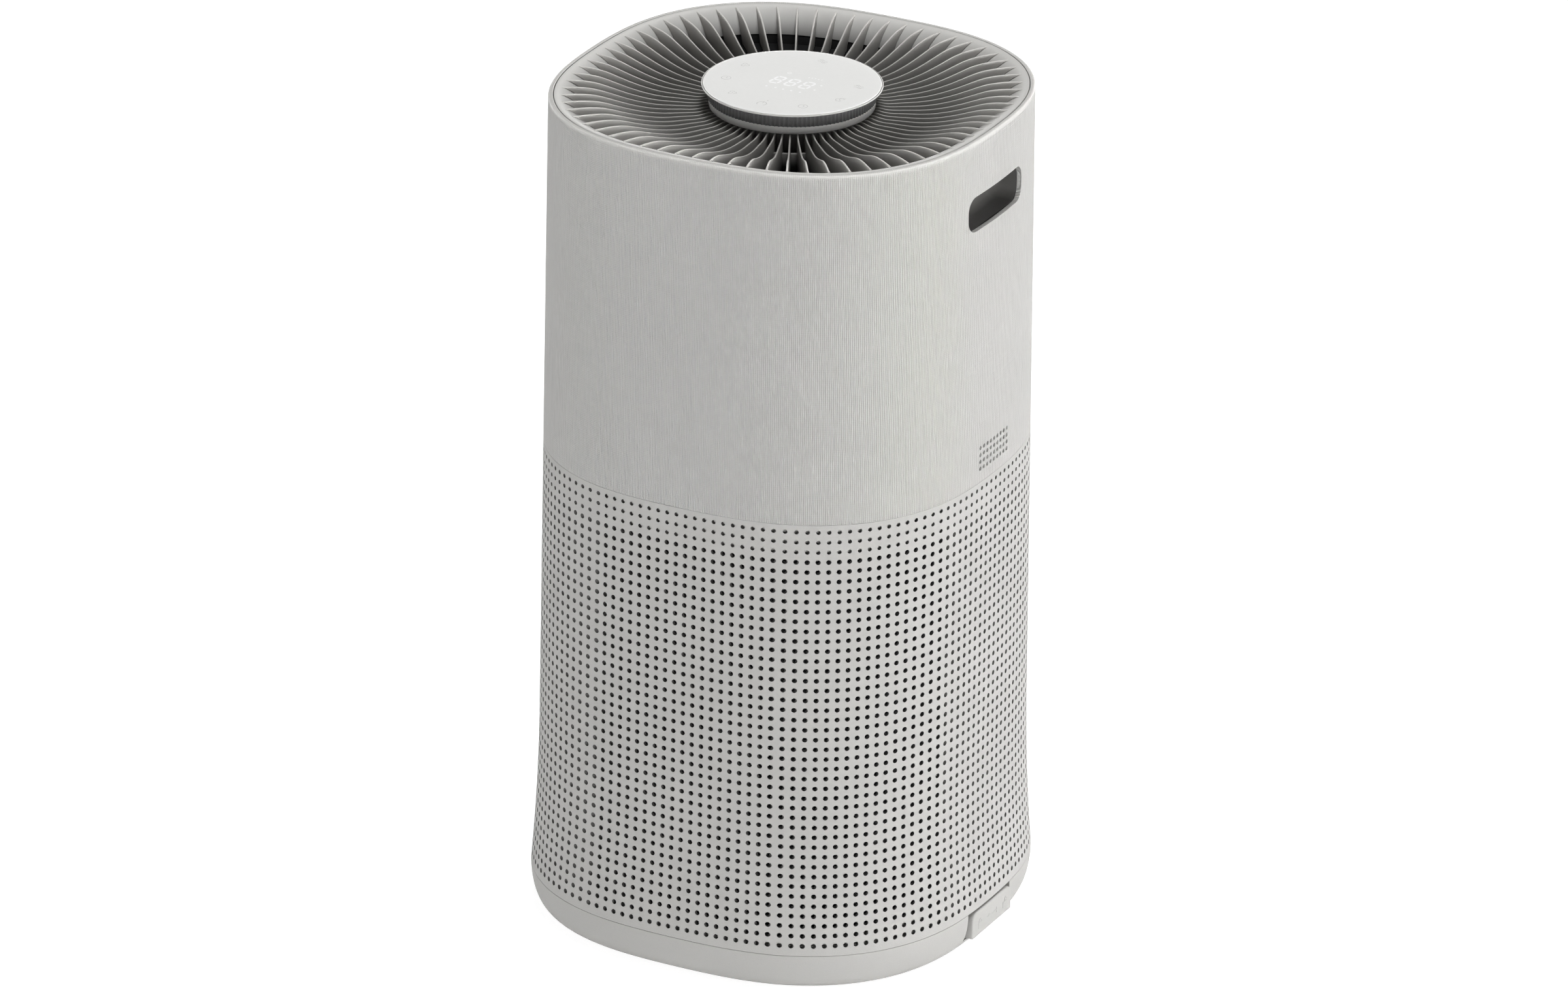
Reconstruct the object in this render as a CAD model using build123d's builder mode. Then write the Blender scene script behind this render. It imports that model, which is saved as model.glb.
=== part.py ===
from build123d import *
import os
from math import cos, pi, radians, sin, sqrt

# Air purifier: a rounded-square tower that stands on a base tray. The tray carries the round
# filter. Everything else lifts off the tray in one piece: the perforated intake shell, the
# linen-textured upper shell, the fan, and the outlet with its fins and its round display.
# Millimetres, +Z up. The origin is on the floor under the middle of the tower. The display reads
# towards -Y, which is the front. The lock and the air sensor are on the +X side.

# ---- driving dimensions ----

# Plan of the outer skin: a square with bulging sides, as a radius that swings round the axis
mean_radius = 150.0
square_swing = 5.6
square_crispness = 0.25
plan_height = 184.0          # the height at which the plan has exactly this size
draft_per_mm = 6.0e-5        # the tower narrows by this share for each millimetre of height
flare_top = 130.0            # below this the skin curves out towards the base
flare_radius = 1400.0
outline_steps = 32

# Heights up the tower
tray_bottom = 2.0
tray_top = 25.2
intake_bottom = 25.7
shell_seam = 314.0
tower_top = 542.0
hub_top = 545.0

# Walls and clearances
skin_wall = 2.5
upper_wall = 3.0
fit_gap = 0.3
seam_gap = 0.4

# Base tray
tuck = 9.2                   # how far the skin curves in under the tower
tray_wall = 3.0
tray_floor = 5.5
lip_top = 31.0
foot_radius = 10.0
foot_circle = 118.0

# Lock lever, in the +X side of the tray
lever_low = 7.5
lever_high = 24.6
lever_start = -29.5
lever_end = 24.5
lever_travel = 2.6
lever_proud = 1.6
lever_back = 141.0

# Filter
filter_radius = 104.0
filter_bottom = 8.0
cap_height = 8.0
filter_top = 284.0
pleat_count = 96
core_radius = 74.5
core_wall = 2.2

# Fan
deck_bottom = 289.5
duct_radius = 114.0
duct_wall = 3.0
duct_top = 523.3
wheel_radius = 94.0
wheel_bottom = 303.5
blade_height = 46.0
blade_count = 11
shaft_radius = 4.0
shaft_clearance = 0.04
motor_bottom = 376.0
motor_top = 424.0
motor_radius = 42.0
motor_bolt_circle = 28.0

# Outlet
rim_inset = 3.4
fin_count = 70
fin_thickness = 1.5
fin_gap = 0.6                # between a fin's outer end and the bowl
fin_bottom = 505.0
fin_root = 49.0
land_level = 531.5           # the fins' inner ends, where they carry the hub
hub_radius = 50.6
band_low = 535.4
band_radius = 50.0
disc_radius = 55.1
disc_bottom = 544.0
bezel_floor = 0.6            # the bezel's web under the disc

# Openings in the upper shell
grip_width = 73.0
grip_height = 23.0
grip_level = 494.5
grip_corner = 8.5
grip_back = 118.0            # the pocket's back wall stands this far from the axis
sensor_level = 330.0
sensor_pitch = 4.6
sensor_hole = 1.2
socket_level = 345.0
socket_width = 26.0
socket_height = 18.0


def step_angle(index, count):
    """Angle of one of count equal steps round the axis, in radians."""
    return 2 * pi * index / count


def skin_scale(z):
    """How much the plan is scaled at height z, by the draft and the flare."""
    flare = max(0.0, flare_top - z) ** 2 / (2 * flare_radius)
    return 1 - draft_per_mm * (z - plan_height) + flare / mean_radius


def skin_radius(angle, z):
    """Radius of the outer skin at an angle from +X and a height."""
    plan = mean_radius - square_swing * cos(4 * angle) - square_crispness * cos(8 * angle)
    return plan * skin_scale(z)


def outline_sketch(z, level, inset):
    """The skin's outline as it is at height level, drawn in by inset and laid at height z."""
    outline = []
    for index in range(outline_steps):
        angle = step_angle(index, outline_steps)
        radius = skin_radius(angle, level) - inset
        outline.append((radius * cos(angle), radius * sin(angle)))
    with BuildSketch(Plane.XY.offset(z)) as section:
        with BuildLine():
            Spline(*outline, periodic=True)
        make_face()
    return section.sketch


def skin_section(z, inset=0.0):
    """The skin's outline at height z, drawn in by inset."""
    return outline_sketch(z, z, inset)


def skin_sections(levels, inset=0.0):
    """Outlines at several heights, to loft between."""
    return [skin_section(z, inset) for z in levels]


def tray_section(z, inset=0.0):
    """The tray's outline at height z, where the skin curls in under the tower."""
    depth = (tray_top - z) / (tray_top - tray_bottom + seam_gap)
    curl = tuck * (1 - sqrt(1 - depth**2))
    return outline_sketch(z, tray_top, inset + curl)


# ---- base: the tray and what stands in it ----

foot_places = PolarLocations(foot_circle, 4, start_angle=45)
lever_middle = (lever_start + lever_end) / 2
lever_length = lever_end - lever_start
pocket_gap = 0.5

with BuildPart() as base_tray:
    tray_levels = (tray_bottom, 2.6, 3.8, 6.0, 9.0, 13.0, 18.0, tray_top)
    loft(sections=[tray_section(z) for z in tray_levels], ruled=True)
    inner_levels = (tray_floor, 9.0, 13.0, 18.0, tray_top)
    inner_sections = [tray_section(z, tray_wall) for z in inner_levels]
    loft(sections=inner_sections, ruled=True, mode=Mode.SUBTRACT)
    # locating lip, which the intake shell drops over
    with BuildSketch(Plane.XY.offset(13.0)):
        add(outline_sketch(0, lip_top, skin_wall + 1.0))
        add(outline_sketch(0, lip_top, skin_wall + 3.0), mode=Mode.SUBTRACT)
    extrude(amount=lip_top - 13.0)
    # seat and guard ring for the filter
    with BuildSketch(Plane.XY.offset(tray_floor)):
        Circle(filter_radius - 4)
        Circle(filter_radius - 14, mode=Mode.SUBTRACT)
    extrude(amount=filter_bottom - tray_floor)
    with BuildSketch(Plane.XY.offset(tray_floor)):
        Circle(filter_radius + 3.5)
        Circle(filter_radius + 1, mode=Mode.SUBTRACT)
    extrude(amount=cap_height)
    # block that carries the lock lever, then the lever's pocket, open outwards and upwards
    with BuildSketch(Plane.YZ.offset(lever_back - 6)):
        with Locations((lever_middle, (tray_floor + tray_top) / 2)):
            Rectangle(lever_length + 16, tray_top - tray_floor)
    extrude(amount=9.0)
    pocket_length = lever_length + lever_travel + 2 * pocket_gap
    pocket_height = lip_top - lever_low + 2 * pocket_gap
    with BuildSketch(Plane.YZ.offset(lever_back - pocket_gap)):
        with Locations((lever_middle - lever_travel / 2, (lever_low + lip_top) / 2)):
            Rectangle(pocket_length, pocket_height)
    extrude(amount=20.0, mode=Mode.SUBTRACT)
    # recesses for the rubber feet
    with BuildSketch():
        with foot_places:
            Circle(foot_radius + fit_gap)
    extrude(amount=tray_bottom + 2.5, mode=Mode.SUBTRACT)
base_tray.part.label = "base_tray"

with BuildPart() as rubber_feet:
    with BuildSketch():
        with foot_places:
            Circle(foot_radius)
    extrude(amount=tray_bottom + 2.5)
    chamfer(rubber_feet.edges().group_by(Axis.Z)[0], length=0.8)
rubber_feet.part.label = "rubber_feet"

with BuildPart() as lock_lever:
    with BuildSketch(Plane.YZ.offset(lever_back)) as lever_face:
        with Locations((lever_middle, (lever_low + lever_high) / 2)):
            Rectangle(lever_length, lever_high - lever_low)
        fillet(lever_face.vertices().group_by(Axis.Y)[-1], radius=6.5)
    extrude(amount=20.0)
    add(
        extrude(outline_sketch(0, tray_top, -lever_proud), amount=tray_top, mode=Mode.PRIVATE),
        mode=Mode.INTERSECT,
    )
lock_lever.part.label = "lock_lever"

with BuildPart() as lock_spring:
    # leaf spring behind the lever's block, bowed towards it
    with BuildSketch(Plane.XY.offset(tray_floor + 3)):
        with BuildLine():
            spring_end = lever_back - 9.0
            ThreePointArc((spring_end, -20), (spring_end + 2.5, 0), (spring_end, 20))
            offset(amount=0.3)
        make_face()
    extrude(amount=8.0)
lock_spring.part.label = "lock_spring"

media_bottom = filter_bottom + cap_height
media_height = filter_top - cap_height - media_bottom
sleeve_wall = 1.2
pleat_outer = filter_radius - 2.5
pleat_inner = pleat_outer - 13.0
carbon_outer = pleat_inner - 4.5
carbon_inner = core_radius + core_wall

with BuildPart() as filter_lower_cap:
    with BuildSketch(Plane.XY.offset(filter_bottom)):
        Circle(filter_radius)
    extrude(amount=cap_height)
    fillet(filter_lower_cap.edges().group_by(Axis.Z)[0], radius=1.5)
filter_lower_cap.part.label = "filter_lower_cap"

with BuildPart() as prefilter_sleeve:
    with BuildSketch(Plane.XY.offset(media_bottom)):
        Circle(filter_radius - 1)
        Circle(filter_radius - 1 - sleeve_wall, mode=Mode.SUBTRACT)
    extrude(amount=media_height)
prefilter_sleeve.part.label = "prefilter_sleeve"

with BuildPart() as filter_pleats:
    pleat_line = []
    for index in range(pleat_count):
        peak = step_angle(index, pleat_count)
        valley = step_angle(index + 0.5, pleat_count)
        pleat_line.append((pleat_outer * cos(peak), pleat_outer * sin(peak)))
        pleat_line.append((pleat_inner * cos(valley), pleat_inner * sin(valley)))
    with BuildSketch(Plane.XY.offset(media_bottom)):
        with BuildLine():
            Polyline(*pleat_line, close=True)
        make_face()
        Circle(carbon_outer + 1, mode=Mode.SUBTRACT)
    extrude(amount=media_height)
filter_pleats.part.label = "filter_pleats"

with BuildPart() as carbon_layer:
    with BuildSketch(Plane.XY.offset(media_bottom)):
        Circle(carbon_outer)
        Circle(carbon_inner + fit_gap, mode=Mode.SUBTRACT)
    extrude(amount=media_height)
carbon_layer.part.label = "carbon_layer"

with BuildPart() as filter_core:
    with BuildSketch(Plane.XY.offset(media_bottom)):
        Circle(carbon_inner)
        Circle(core_radius, mode=Mode.SUBTRACT)
    extrude(amount=media_height)
filter_core.part.label = "filter_core"

with BuildPart() as filter_upper_cap:
    with BuildSketch(Plane.XY.offset(filter_top - cap_height)):
        Circle(filter_radius)
        Circle(core_radius, mode=Mode.SUBTRACT)
    extrude(amount=cap_height)
    fillet(filter_upper_cap.edges().group_by(Axis.Z)[-1].sort_by(SortBy.RADIUS)[-1], radius=1.5)
filter_upper_cap.part.label = "filter_upper_cap"

with BuildPart() as filter_gasket:
    with BuildSketch(Plane.XY.offset(filter_top)):
        Circle(filter_radius - 12)
        Circle(filter_radius - 22, mode=Mode.SUBTRACT)
    extrude(amount=deck_bottom - fit_gap - filter_top)
filter_gasket.part.label = "filter_gasket"


# ---- housing: the shells ----

intake_levels = (intake_bottom, 38.0, 52.0, 68.0, 87.0, 108.0, flare_top, shell_seam - seam_gap)
upper_levels = (shell_seam + seam_gap, tower_top)

frame_top = 320.0
frame_inset = upper_wall + fit_gap
frame_wall = 2.2

with BuildPart() as intake_shell:
    loft(sections=skin_sections(intake_levels), ruled=True)
    loft(sections=skin_sections(intake_levels, skin_wall), ruled=True, mode=Mode.SUBTRACT)
intake_shell.part.label = "intake_shell"

with BuildPart() as mid_frame:
    # joins the two shells from inside, and backs the top rows of the intake's perforations
    with BuildSketch(Plane.XY.offset(deck_bottom)):
        add(outline_sketch(0, frame_top, frame_inset))
        add(outline_sketch(0, frame_top, frame_inset + frame_wall), mode=Mode.SUBTRACT)
    extrude(amount=frame_top - deck_bottom)
mid_frame.part.label = "mid_frame"

with BuildPart() as upper_shell:
    loft(sections=skin_sections(upper_levels), ruled=True)
    loft(sections=skin_sections(upper_levels, upper_wall), ruled=True, mode=Mode.SUBTRACT)
    chamfer(upper_shell.edges().group_by(Axis.Z)[-1].sort_by(Edge.length)[-1], length=1.2)
    # hand grips through both sides
    with BuildSketch(Plane.YZ):
        with Locations((0, grip_level)):
            RectangleRounded(grip_width, grip_height, grip_corner)
    extrude(amount=160.0, both=True, mode=Mode.SUBTRACT)
    # grille over the air sensor
    with BuildSketch(Plane.YZ.offset(duct_radius)):
        with Locations((0, sensor_level)):
            with GridLocations(sensor_pitch, sensor_pitch, 9, 4):
                Circle(sensor_hole)
    extrude(amount=40.0, mode=Mode.SUBTRACT)
    # mains socket at the back
    with BuildSketch(Plane.XZ.offset(-duct_radius)):
        with Locations((0, socket_level)):
            RectangleRounded(socket_width, socket_height, 3.0)
    extrude(amount=-40.0, mode=Mode.SUBTRACT)
upper_shell.part.label = "upper_shell"


def grip_pocket(side):
    """Dark recess behind a hand grip. side is 1 on the +X side and -1 on the other."""
    pocket_wall = 2.0
    with BuildPart() as pocket:
        with BuildSketch(Plane.YZ.offset(side * (grip_back - pocket_wall))):
            with Locations((0, grip_level)):
                RectangleRounded(
                    grip_width + 2 * pocket_wall, grip_height + 2 * pocket_wall, grip_corner + pocket_wall
                )
        extrude(amount=side * 40.0)
        with BuildSketch(Plane.YZ.offset(side * grip_back)):
            with Locations((0, grip_level)):
                RectangleRounded(grip_width, grip_height, grip_corner)
        extrude(amount=side * 40.0, mode=Mode.SUBTRACT)
        inside = skin_sections((grip_level - 40, grip_level + 40), upper_wall + fit_gap)
        add(loft(sections=inside, mode=Mode.PRIVATE), mode=Mode.INTERSECT)
    return pocket.part


grip_pocket_right = grip_pocket(1)
grip_pocket_right.label = "grip_pocket_right"
grip_pocket_left = grip_pocket(-1)
grip_pocket_left.label = "grip_pocket_left"

sensor_width = 52.0
sensor_height = 40.0
sensor_depth = 14.0
sensor_front = duct_radius + 8.0 + sensor_depth

with BuildPart() as air_sensor:
    with BuildSketch(Plane.YZ.offset(sensor_front - sensor_depth)):
        with Locations((0, sensor_level)):
            RectangleRounded(sensor_width, sensor_height, 2.0)
    extrude(amount=sensor_depth)
    # sampling chamber, open towards the grille
    with BuildSketch(Plane.YZ.offset(sensor_front)):
        with Locations((0, sensor_level)):
            Rectangle(sensor_width - 10.0, sensor_height - 20.0)
    extrude(amount=-6.0, mode=Mode.SUBTRACT)
air_sensor.part.label = "air_sensor"

socket_back = duct_radius + 4.0
socket_mouth = 141.0
pin_spacing = 8.6

with BuildPart() as power_socket:
    with BuildSketch(Plane.XZ.offset(-socket_back)):
        with Locations((0, socket_level)):
            RectangleRounded(socket_width - 2 * fit_gap, socket_height - 2 * fit_gap, 2.7)
    extrude(amount=socket_back - socket_mouth)
    with BuildSketch(Plane.XZ.offset(-socket_mouth)):
        with Locations((0, socket_level)):
            SlotCenterToCenter(pin_spacing, 9.0)
    extrude(amount=16.0, mode=Mode.SUBTRACT)
power_socket.part.label = "power_socket"

with BuildPart() as socket_pins:
    with BuildSketch(Plane.XZ.offset(16.0 - socket_mouth)):
        with Locations((0, socket_level)):
            with GridLocations(pin_spacing, 1, 2, 1):
                Circle(1.2)
    extrude(amount=-10.0)
socket_pins.part.label = "socket_pins"

board_plane = Plane.XZ.offset(-duct_radius - 5.0)
board_thickness = 1.6
board_level = 408.0

with BuildPart() as power_board:
    with BuildSketch(board_plane):
        with Locations((0, board_level)):
            Rectangle(78.0, 84.0)
    extrude(amount=-board_thickness)
power_board.part.label = "power_board"

with BuildPart() as board_components:
    # transformer, capacitors, choke and terminal block, on the board's outer face
    with BuildSketch(board_plane.offset(-board_thickness)):
        with Locations((-18, board_level + 14)):
            Rectangle(26.0, 24.0)
        with Locations((16, board_level - 22)):
            Rectangle(22.0, 16.0)
        with Locations((-20, board_level - 26)):
            Rectangle(20.0, 10.0)
        with Locations((12, board_level + 24), (26, board_level + 24), (12, board_level + 8)):
            Circle(5.5)
    extrude(amount=-13.0)
board_components.part.label = "board_components"


# ---- housing: the fan ----

bell_radius = 14.0
bell_throat = 74.0
deck_thickness = 3.0

with BuildPart() as fan_deck:
    with BuildSketch(Plane.XY.offset(deck_bottom)):
        add(outline_sketch(0, frame_top, frame_inset + frame_wall))
        Circle(bell_throat + bell_radius - 1, mode=Mode.SUBTRACT)
    extrude(amount=deck_thickness)
    # bell mouth: the opening's edge rolls up and inwards towards the fan wheel
    with BuildSketch(Plane.XZ):
        with BuildLine():
            bell_centre = (bell_throat + bell_radius, deck_bottom + bell_radius)
            outside = CenterArc(bell_centre, bell_radius, 180, 90)
            inside = CenterArc(bell_centre, bell_radius - deck_thickness, 180, 90)
            Line(outside @ 0, inside @ 0)
            Line(outside @ 1, inside @ 1)
        make_face()
    revolve(axis=Axis.Z)
    split(bisect_by=Plane.XY.offset(deck_bottom + 12.0), keep=Keep.BOTTOM)
fan_deck.part.label = "fan_deck"

with BuildPart() as deck_screws:
    with BuildSketch(Plane.XY.offset(deck_bottom + deck_thickness)):
        with PolarLocations(128.0, 4, start_angle=45):
            Circle(3.5)
    extrude(amount=2.4)
    chamfer(deck_screws.edges().group_by(Axis.Z)[-1], length=0.5)
deck_screws.part.label = "deck_screws"

with BuildPart() as fan_duct:
    with BuildSketch(Plane.XY.offset(deck_bottom + deck_thickness)):
        Circle(duct_radius)
        Circle(duct_radius - duct_wall, mode=Mode.SUBTRACT)
    extrude(amount=duct_top - deck_bottom - deck_thickness)
    # flange under the outlet's rim
    with BuildSketch(Plane.XY.offset(duct_top)):
        add(outline_sketch(0, duct_top, rim_inset + 0.6))
        Circle(duct_radius - duct_wall, mode=Mode.SUBTRACT)
    extrude(amount=-2.0)
fan_duct.part.label = "fan_duct"

wheel_floor = wheel_bottom + 2.0
wheel_top = wheel_floor + blade_height
blade_thickness = 1.6
wheel_eye = 75.0

with BuildPart() as fan_wheel:
    # shroud ring with the eye that the bell mouth feeds
    with BuildSketch(Plane.XY.offset(wheel_bottom)):
        Circle(wheel_radius)
        Circle(wheel_eye, mode=Mode.SUBTRACT)
    extrude(amount=wheel_floor - wheel_bottom)
    # back plate and hub boss
    with BuildSketch(Plane.XY.offset(wheel_top)):
        Circle(wheel_radius)
    extrude(amount=2.0)
    with BuildSketch(Plane.XY.offset(wheel_top - 16)):
        Circle(13.0)
    extrude(amount=30.0)
    # backward-curved blades
    with BuildSketch(Plane.XY.offset(wheel_floor)) as blade:
        with BuildLine():
            blade_inner = wheel_eye - 24
            ThreePointArc((blade_inner, 0), (74.0, -14.0), (wheel_radius - 4, -40.0))
            offset(amount=blade_thickness / 2)
        make_face()
    with PolarLocations(0, blade_count):
        add(extrude(blade.sketch, amount=blade_height, mode=Mode.PRIVATE))
    with BuildSketch(Plane.XY.offset(wheel_bottom - 1)):
        Circle(shaft_radius)
    extrude(amount=80.0, mode=Mode.SUBTRACT)
fan_wheel.part.label = "fan_wheel"

shaft_bottom = wheel_top - 24.0
shaft_top = motor_top - 2.5

with BuildPart() as motor_shaft:
    with BuildSketch(Plane.XY.offset(shaft_bottom)):
        Circle(shaft_radius)
    extrude(amount=shaft_top - shaft_bottom)
    chamfer(motor_shaft.edges().group_by(Axis.Z)[0], length=0.6)
motor_shaft.part.label = "motor_shaft"

with BuildPart() as wheel_nut:
    with BuildSketch(Plane.XY.offset(shaft_bottom + 1.5)):
        RegularPolygon(7.5, 6)
        Circle(shaft_radius, mode=Mode.SUBTRACT)
    extrude(amount=6.0)
wheel_nut.part.label = "wheel_nut"

bearing_radius = 11.0
bearing_height = 6.0
end_plate = 8.0
rotor_radius = 24.0
stator_bore = rotor_radius + 0.8

with BuildPart() as motor_case:
    with BuildSketch(Plane.XY.offset(motor_bottom)):
        Circle(motor_radius)
    extrude(amount=motor_top - motor_bottom)
    with BuildSketch(Plane.XY.offset(motor_bottom + end_plate)):
        Circle(motor_radius - 2.0)
    extrude(amount=motor_top - motor_bottom - 2 * end_plate, mode=Mode.SUBTRACT)
    with BuildSketch(Plane.XY.offset(motor_bottom)):
        Circle(bearing_radius)
    extrude(amount=motor_top - motor_bottom - 2.0, mode=Mode.SUBTRACT)
    # screw holes in the top
    with BuildSketch(Plane.XY.offset(motor_top)):
        with PolarLocations(motor_bolt_circle, 4):
            Circle(2.0)
    extrude(amount=-6.0, mode=Mode.SUBTRACT)
    chamfer(motor_case.edges().group_by(Axis.Z)[0].sort_by(SortBy.RADIUS)[-1], length=1.0)
motor_case.part.label = "motor_case"

with BuildPart() as motor_stator:
    with BuildSketch(Plane.XY.offset(motor_bottom + end_plate + 4)):
        Circle(motor_radius - 2.0 - 0.05)
        Circle(stator_bore, mode=Mode.SUBTRACT)
        # slots between the wound teeth
        with PolarLocations((stator_bore + motor_radius - 5) / 2, 12):
            Rectangle(motor_radius - 7 - stator_bore, 3.0, mode=Mode.SUBTRACT)
    extrude(amount=24.0)
motor_stator.part.label = "motor_stator"

with BuildPart() as motor_rotor:
    with BuildSketch(Plane.XY.offset(motor_bottom + end_plate + 5)):
        Circle(rotor_radius)
        Circle(shaft_radius, mode=Mode.SUBTRACT)
    extrude(amount=22.0)
motor_rotor.part.label = "motor_rotor"

with BuildPart() as motor_bearings:
    for bearing_level in (motor_bottom, motor_top - 2.0 - bearing_height):
        with BuildSketch(Plane.XY.offset(bearing_level)):
            Circle(bearing_radius)
            Circle(shaft_radius + shaft_clearance, mode=Mode.SUBTRACT)
        extrude(amount=bearing_height)
motor_bearings.part.label = "motor_bearings"

damper_height = 3.0
mount_plate = 3.0
mount_level = motor_top + damper_height
ring_height = 40.0
inner_ring = 48.0
vane_count = 13
bolt_places = PolarLocations(motor_bolt_circle, 4)

with BuildPart() as motor_dampers:
    with BuildSketch(Plane.XY.offset(motor_top)):
        with bolt_places:
            Circle(6.0)
        with bolt_places:
            Circle(2.2, mode=Mode.SUBTRACT)
    extrude(amount=damper_height)
motor_dampers.part.label = "motor_dampers"

with BuildPart() as diffuser:
    ring_bottom = mount_level + mount_plate - ring_height
    with BuildSketch(Plane.XY.offset(ring_bottom)):
        Circle(duct_radius - duct_wall - 0.1)
        Circle(duct_radius - duct_wall - 2.1, mode=Mode.SUBTRACT)
        Circle(inner_ring)
        Circle(inner_ring - 2.0, mode=Mode.SUBTRACT)
    extrude(amount=ring_height)
    # plate that the motor hangs from
    with BuildSketch(Plane.XY.offset(mount_level)):
        Circle(inner_ring)
        with bolt_places:
            Circle(2.2, mode=Mode.SUBTRACT)
    extrude(amount=mount_plate)
    # curved vanes that turn the swirling air upwards
    with BuildSketch(Plane.XY.offset(ring_bottom)) as vane:
        with BuildLine():
            vane_end = duct_radius - duct_wall - 1.1
            ThreePointArc((inner_ring - 1, 0), (78.0, 8.0), (vane_end * cos(0.35), vane_end * sin(0.35)))
            offset(amount=0.9)
        make_face()
    with PolarLocations(0, vane_count):
        add(extrude(vane.sketch, amount=ring_height, mode=Mode.PRIVATE))
diffuser.part.label = "diffuser"

with BuildPart() as motor_screws:
    with BuildSketch(Plane.XY.offset(motor_top - 5)):
        with bolt_places:
            Circle(1.9)
    extrude(amount=mount_level + mount_plate - motor_top + 5)
    with BuildSketch(Plane.XY.offset(mount_level + mount_plate)):
        with bolt_places:
            Circle(4.0)
    extrude(amount=3.0)
motor_screws.part.label = "motor_screws"

with BuildPart() as motor_cover:
    # smooth cone over the motor, up to the foot of the fins
    cover_bottom = mount_level + mount_plate + 4.0
    with BuildSketch(Plane.XZ):
        with BuildLine():
            Polyline(
                (0, fin_bottom - 2.2),
                (44.0, fin_bottom - 2.2),
                (inner_ring, cover_bottom + 20),
                (inner_ring, cover_bottom - 4.0),
                (inner_ring - 2, cover_bottom - 4.0),
                (inner_ring - 2, cover_bottom + 20),
                (42.0, fin_bottom - 4.2),
                (0, fin_bottom - 4.2),
                close=True,
            )
        make_face()
    revolve(axis=Axis.Z)
motor_cover.part.label = "motor_cover"


# ---- housing: the outlet ----

# the bowl's wall as inset from the skin and height, from the rim's lip down to its lower edge
bowl_curve = ((3.6, 542.6), (7.6, 541.1), (14.7, 537.3), (20.5, 532.2), (24.6, 526.5), (26.5, 519.0))
bowl_wall = 2.2


def bowl_section(inset, z):
    """The bowl's outline at height z. The rim is drawn in from the tower's top edge."""
    return outline_sketch(z, tower_top, inset)


with BuildPart() as top_rim:
    rim_block = (duct_top, tower_top - 0.3)
    loft(sections=[bowl_section(rim_inset, z) for z in rim_block], ruled=True)
    rim_hollow = (duct_top, tower_top - 3.0)
    loft(sections=[bowl_section(rim_inset + 2.2, z) for z in rim_hollow], ruled=True, mode=Mode.SUBTRACT)
    # curved wall of the bowl, hollow underneath
    loft(sections=[bowl_section(inset - bowl_wall, z - bowl_wall) for inset, z in bowl_curve[1:]])
    loft(sections=[bowl_section(inset, z) for inset, z in bowl_curve], mode=Mode.SUBTRACT)
    split(bisect_by=Plane.XY.offset(duct_top + seam_gap), keep=Keep.TOP)
top_rim.part.label = "top_rim"

# the fins' top edge as radius and height: low round the hub, rising in an S to the rim
fin_crest = ((57.0, 530.1), (68.0, 529.5), (80.0, 530.0), (92.0, 531.7), (104.0, 534.8))
crest_shoulder = ((112.0, 537.4), (120.0, 539.8), (128.0, 541.0))
land_end = 53.5
web_radius = 57.0
web_top = 520.5
first_fin = -90.0            # degrees from +X: one fin points straight to the front

with BuildPart() as outlet_fins:
    for index in range(fin_count):
        fin_angle = first_fin + 360 * index / fin_count
        rim_edge = skin_radius(radians(fin_angle), tower_top)
        # the outer end follows the bowl's wall down to the duct
        outer_end = [(rim_edge - inset - fin_gap, z) for inset, z in bowl_curve[1:-1]]
        duct_side = duct_radius - duct_wall - fit_gap
        with BuildSketch(Plane.XZ.rotated((0, 0, fin_angle))):
            with BuildLine():
                crest = Spline((land_end, land_level), *fin_crest, *crest_shoulder, outer_end[0])
                Polyline(crest @ 1, *outer_end[1:], (duct_side, duct_top + 0.2), (duct_side, fin_bottom))
                Polyline((duct_side, fin_bottom), (fin_root, fin_bottom), (fin_root, land_level), crest @ 0)
            make_face()
        extrude(amount=fin_thickness / 2, both=True)
    # sleeve that carries the hub, and the stiffening web round it
    with BuildSketch(Plane.XY.offset(fin_bottom)):
        Circle(fin_root + 0.5)
        Circle(fin_root - 2.5, mode=Mode.SUBTRACT)
    extrude(amount=land_level - fin_bottom)
    with BuildSketch(Plane.XY.offset(fin_bottom)):
        Circle(web_radius + 1)
        Circle(web_radius - 1, mode=Mode.SUBTRACT)
    extrude(amount=web_top - fin_bottom)
outlet_fins.part.label = "outlet_fins"

with BuildPart() as hub_collar:
    with BuildSketch(Plane.XY.offset(land_level)):
        Circle(hub_radius)
        Circle(hub_radius - 6.0, mode=Mode.SUBTRACT)
    extrude(amount=band_low - land_level)
hub_collar.part.label = "hub_collar"

with BuildPart() as light_band:
    # light guide under the display, with fine upright ribs
    with BuildSketch(Plane.XY.offset(band_low)):
        Circle(band_radius)
        with PolarLocations(band_radius, 120):
            Circle(0.45)
        Circle(band_radius - 3.0, mode=Mode.SUBTRACT)
    extrude(amount=disc_bottom - bezel_floor - band_low)
light_band.part.label = "light_band"

with BuildPart() as display_bezel:
    with BuildSketch(Plane.XY.offset(disc_bottom - bezel_floor)):
        Circle(disc_radius + 1.0)
        Circle(disc_radius - 7.0, mode=Mode.SUBTRACT)
    extrude(amount=bezel_floor - 0.1)
    with BuildSketch(Plane.XY.offset(disc_bottom - bezel_floor)):
        Circle(disc_radius + 1.0)
        Circle(disc_radius + 0.1, mode=Mode.SUBTRACT)
    extrude(amount=hub_top - 0.3 - disc_bottom + bezel_floor)
display_bezel.part.label = "display_bezel"

with BuildPart() as display_disc:
    with BuildSketch(Plane.XY.offset(disc_bottom)):
        Circle(disc_radius)
    extrude(amount=hub_top - disc_bottom)
    fillet(display_disc.edges().group_by(Axis.Z)[-1], radius=0.3)
display_disc.part.label = "display_disc"

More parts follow.
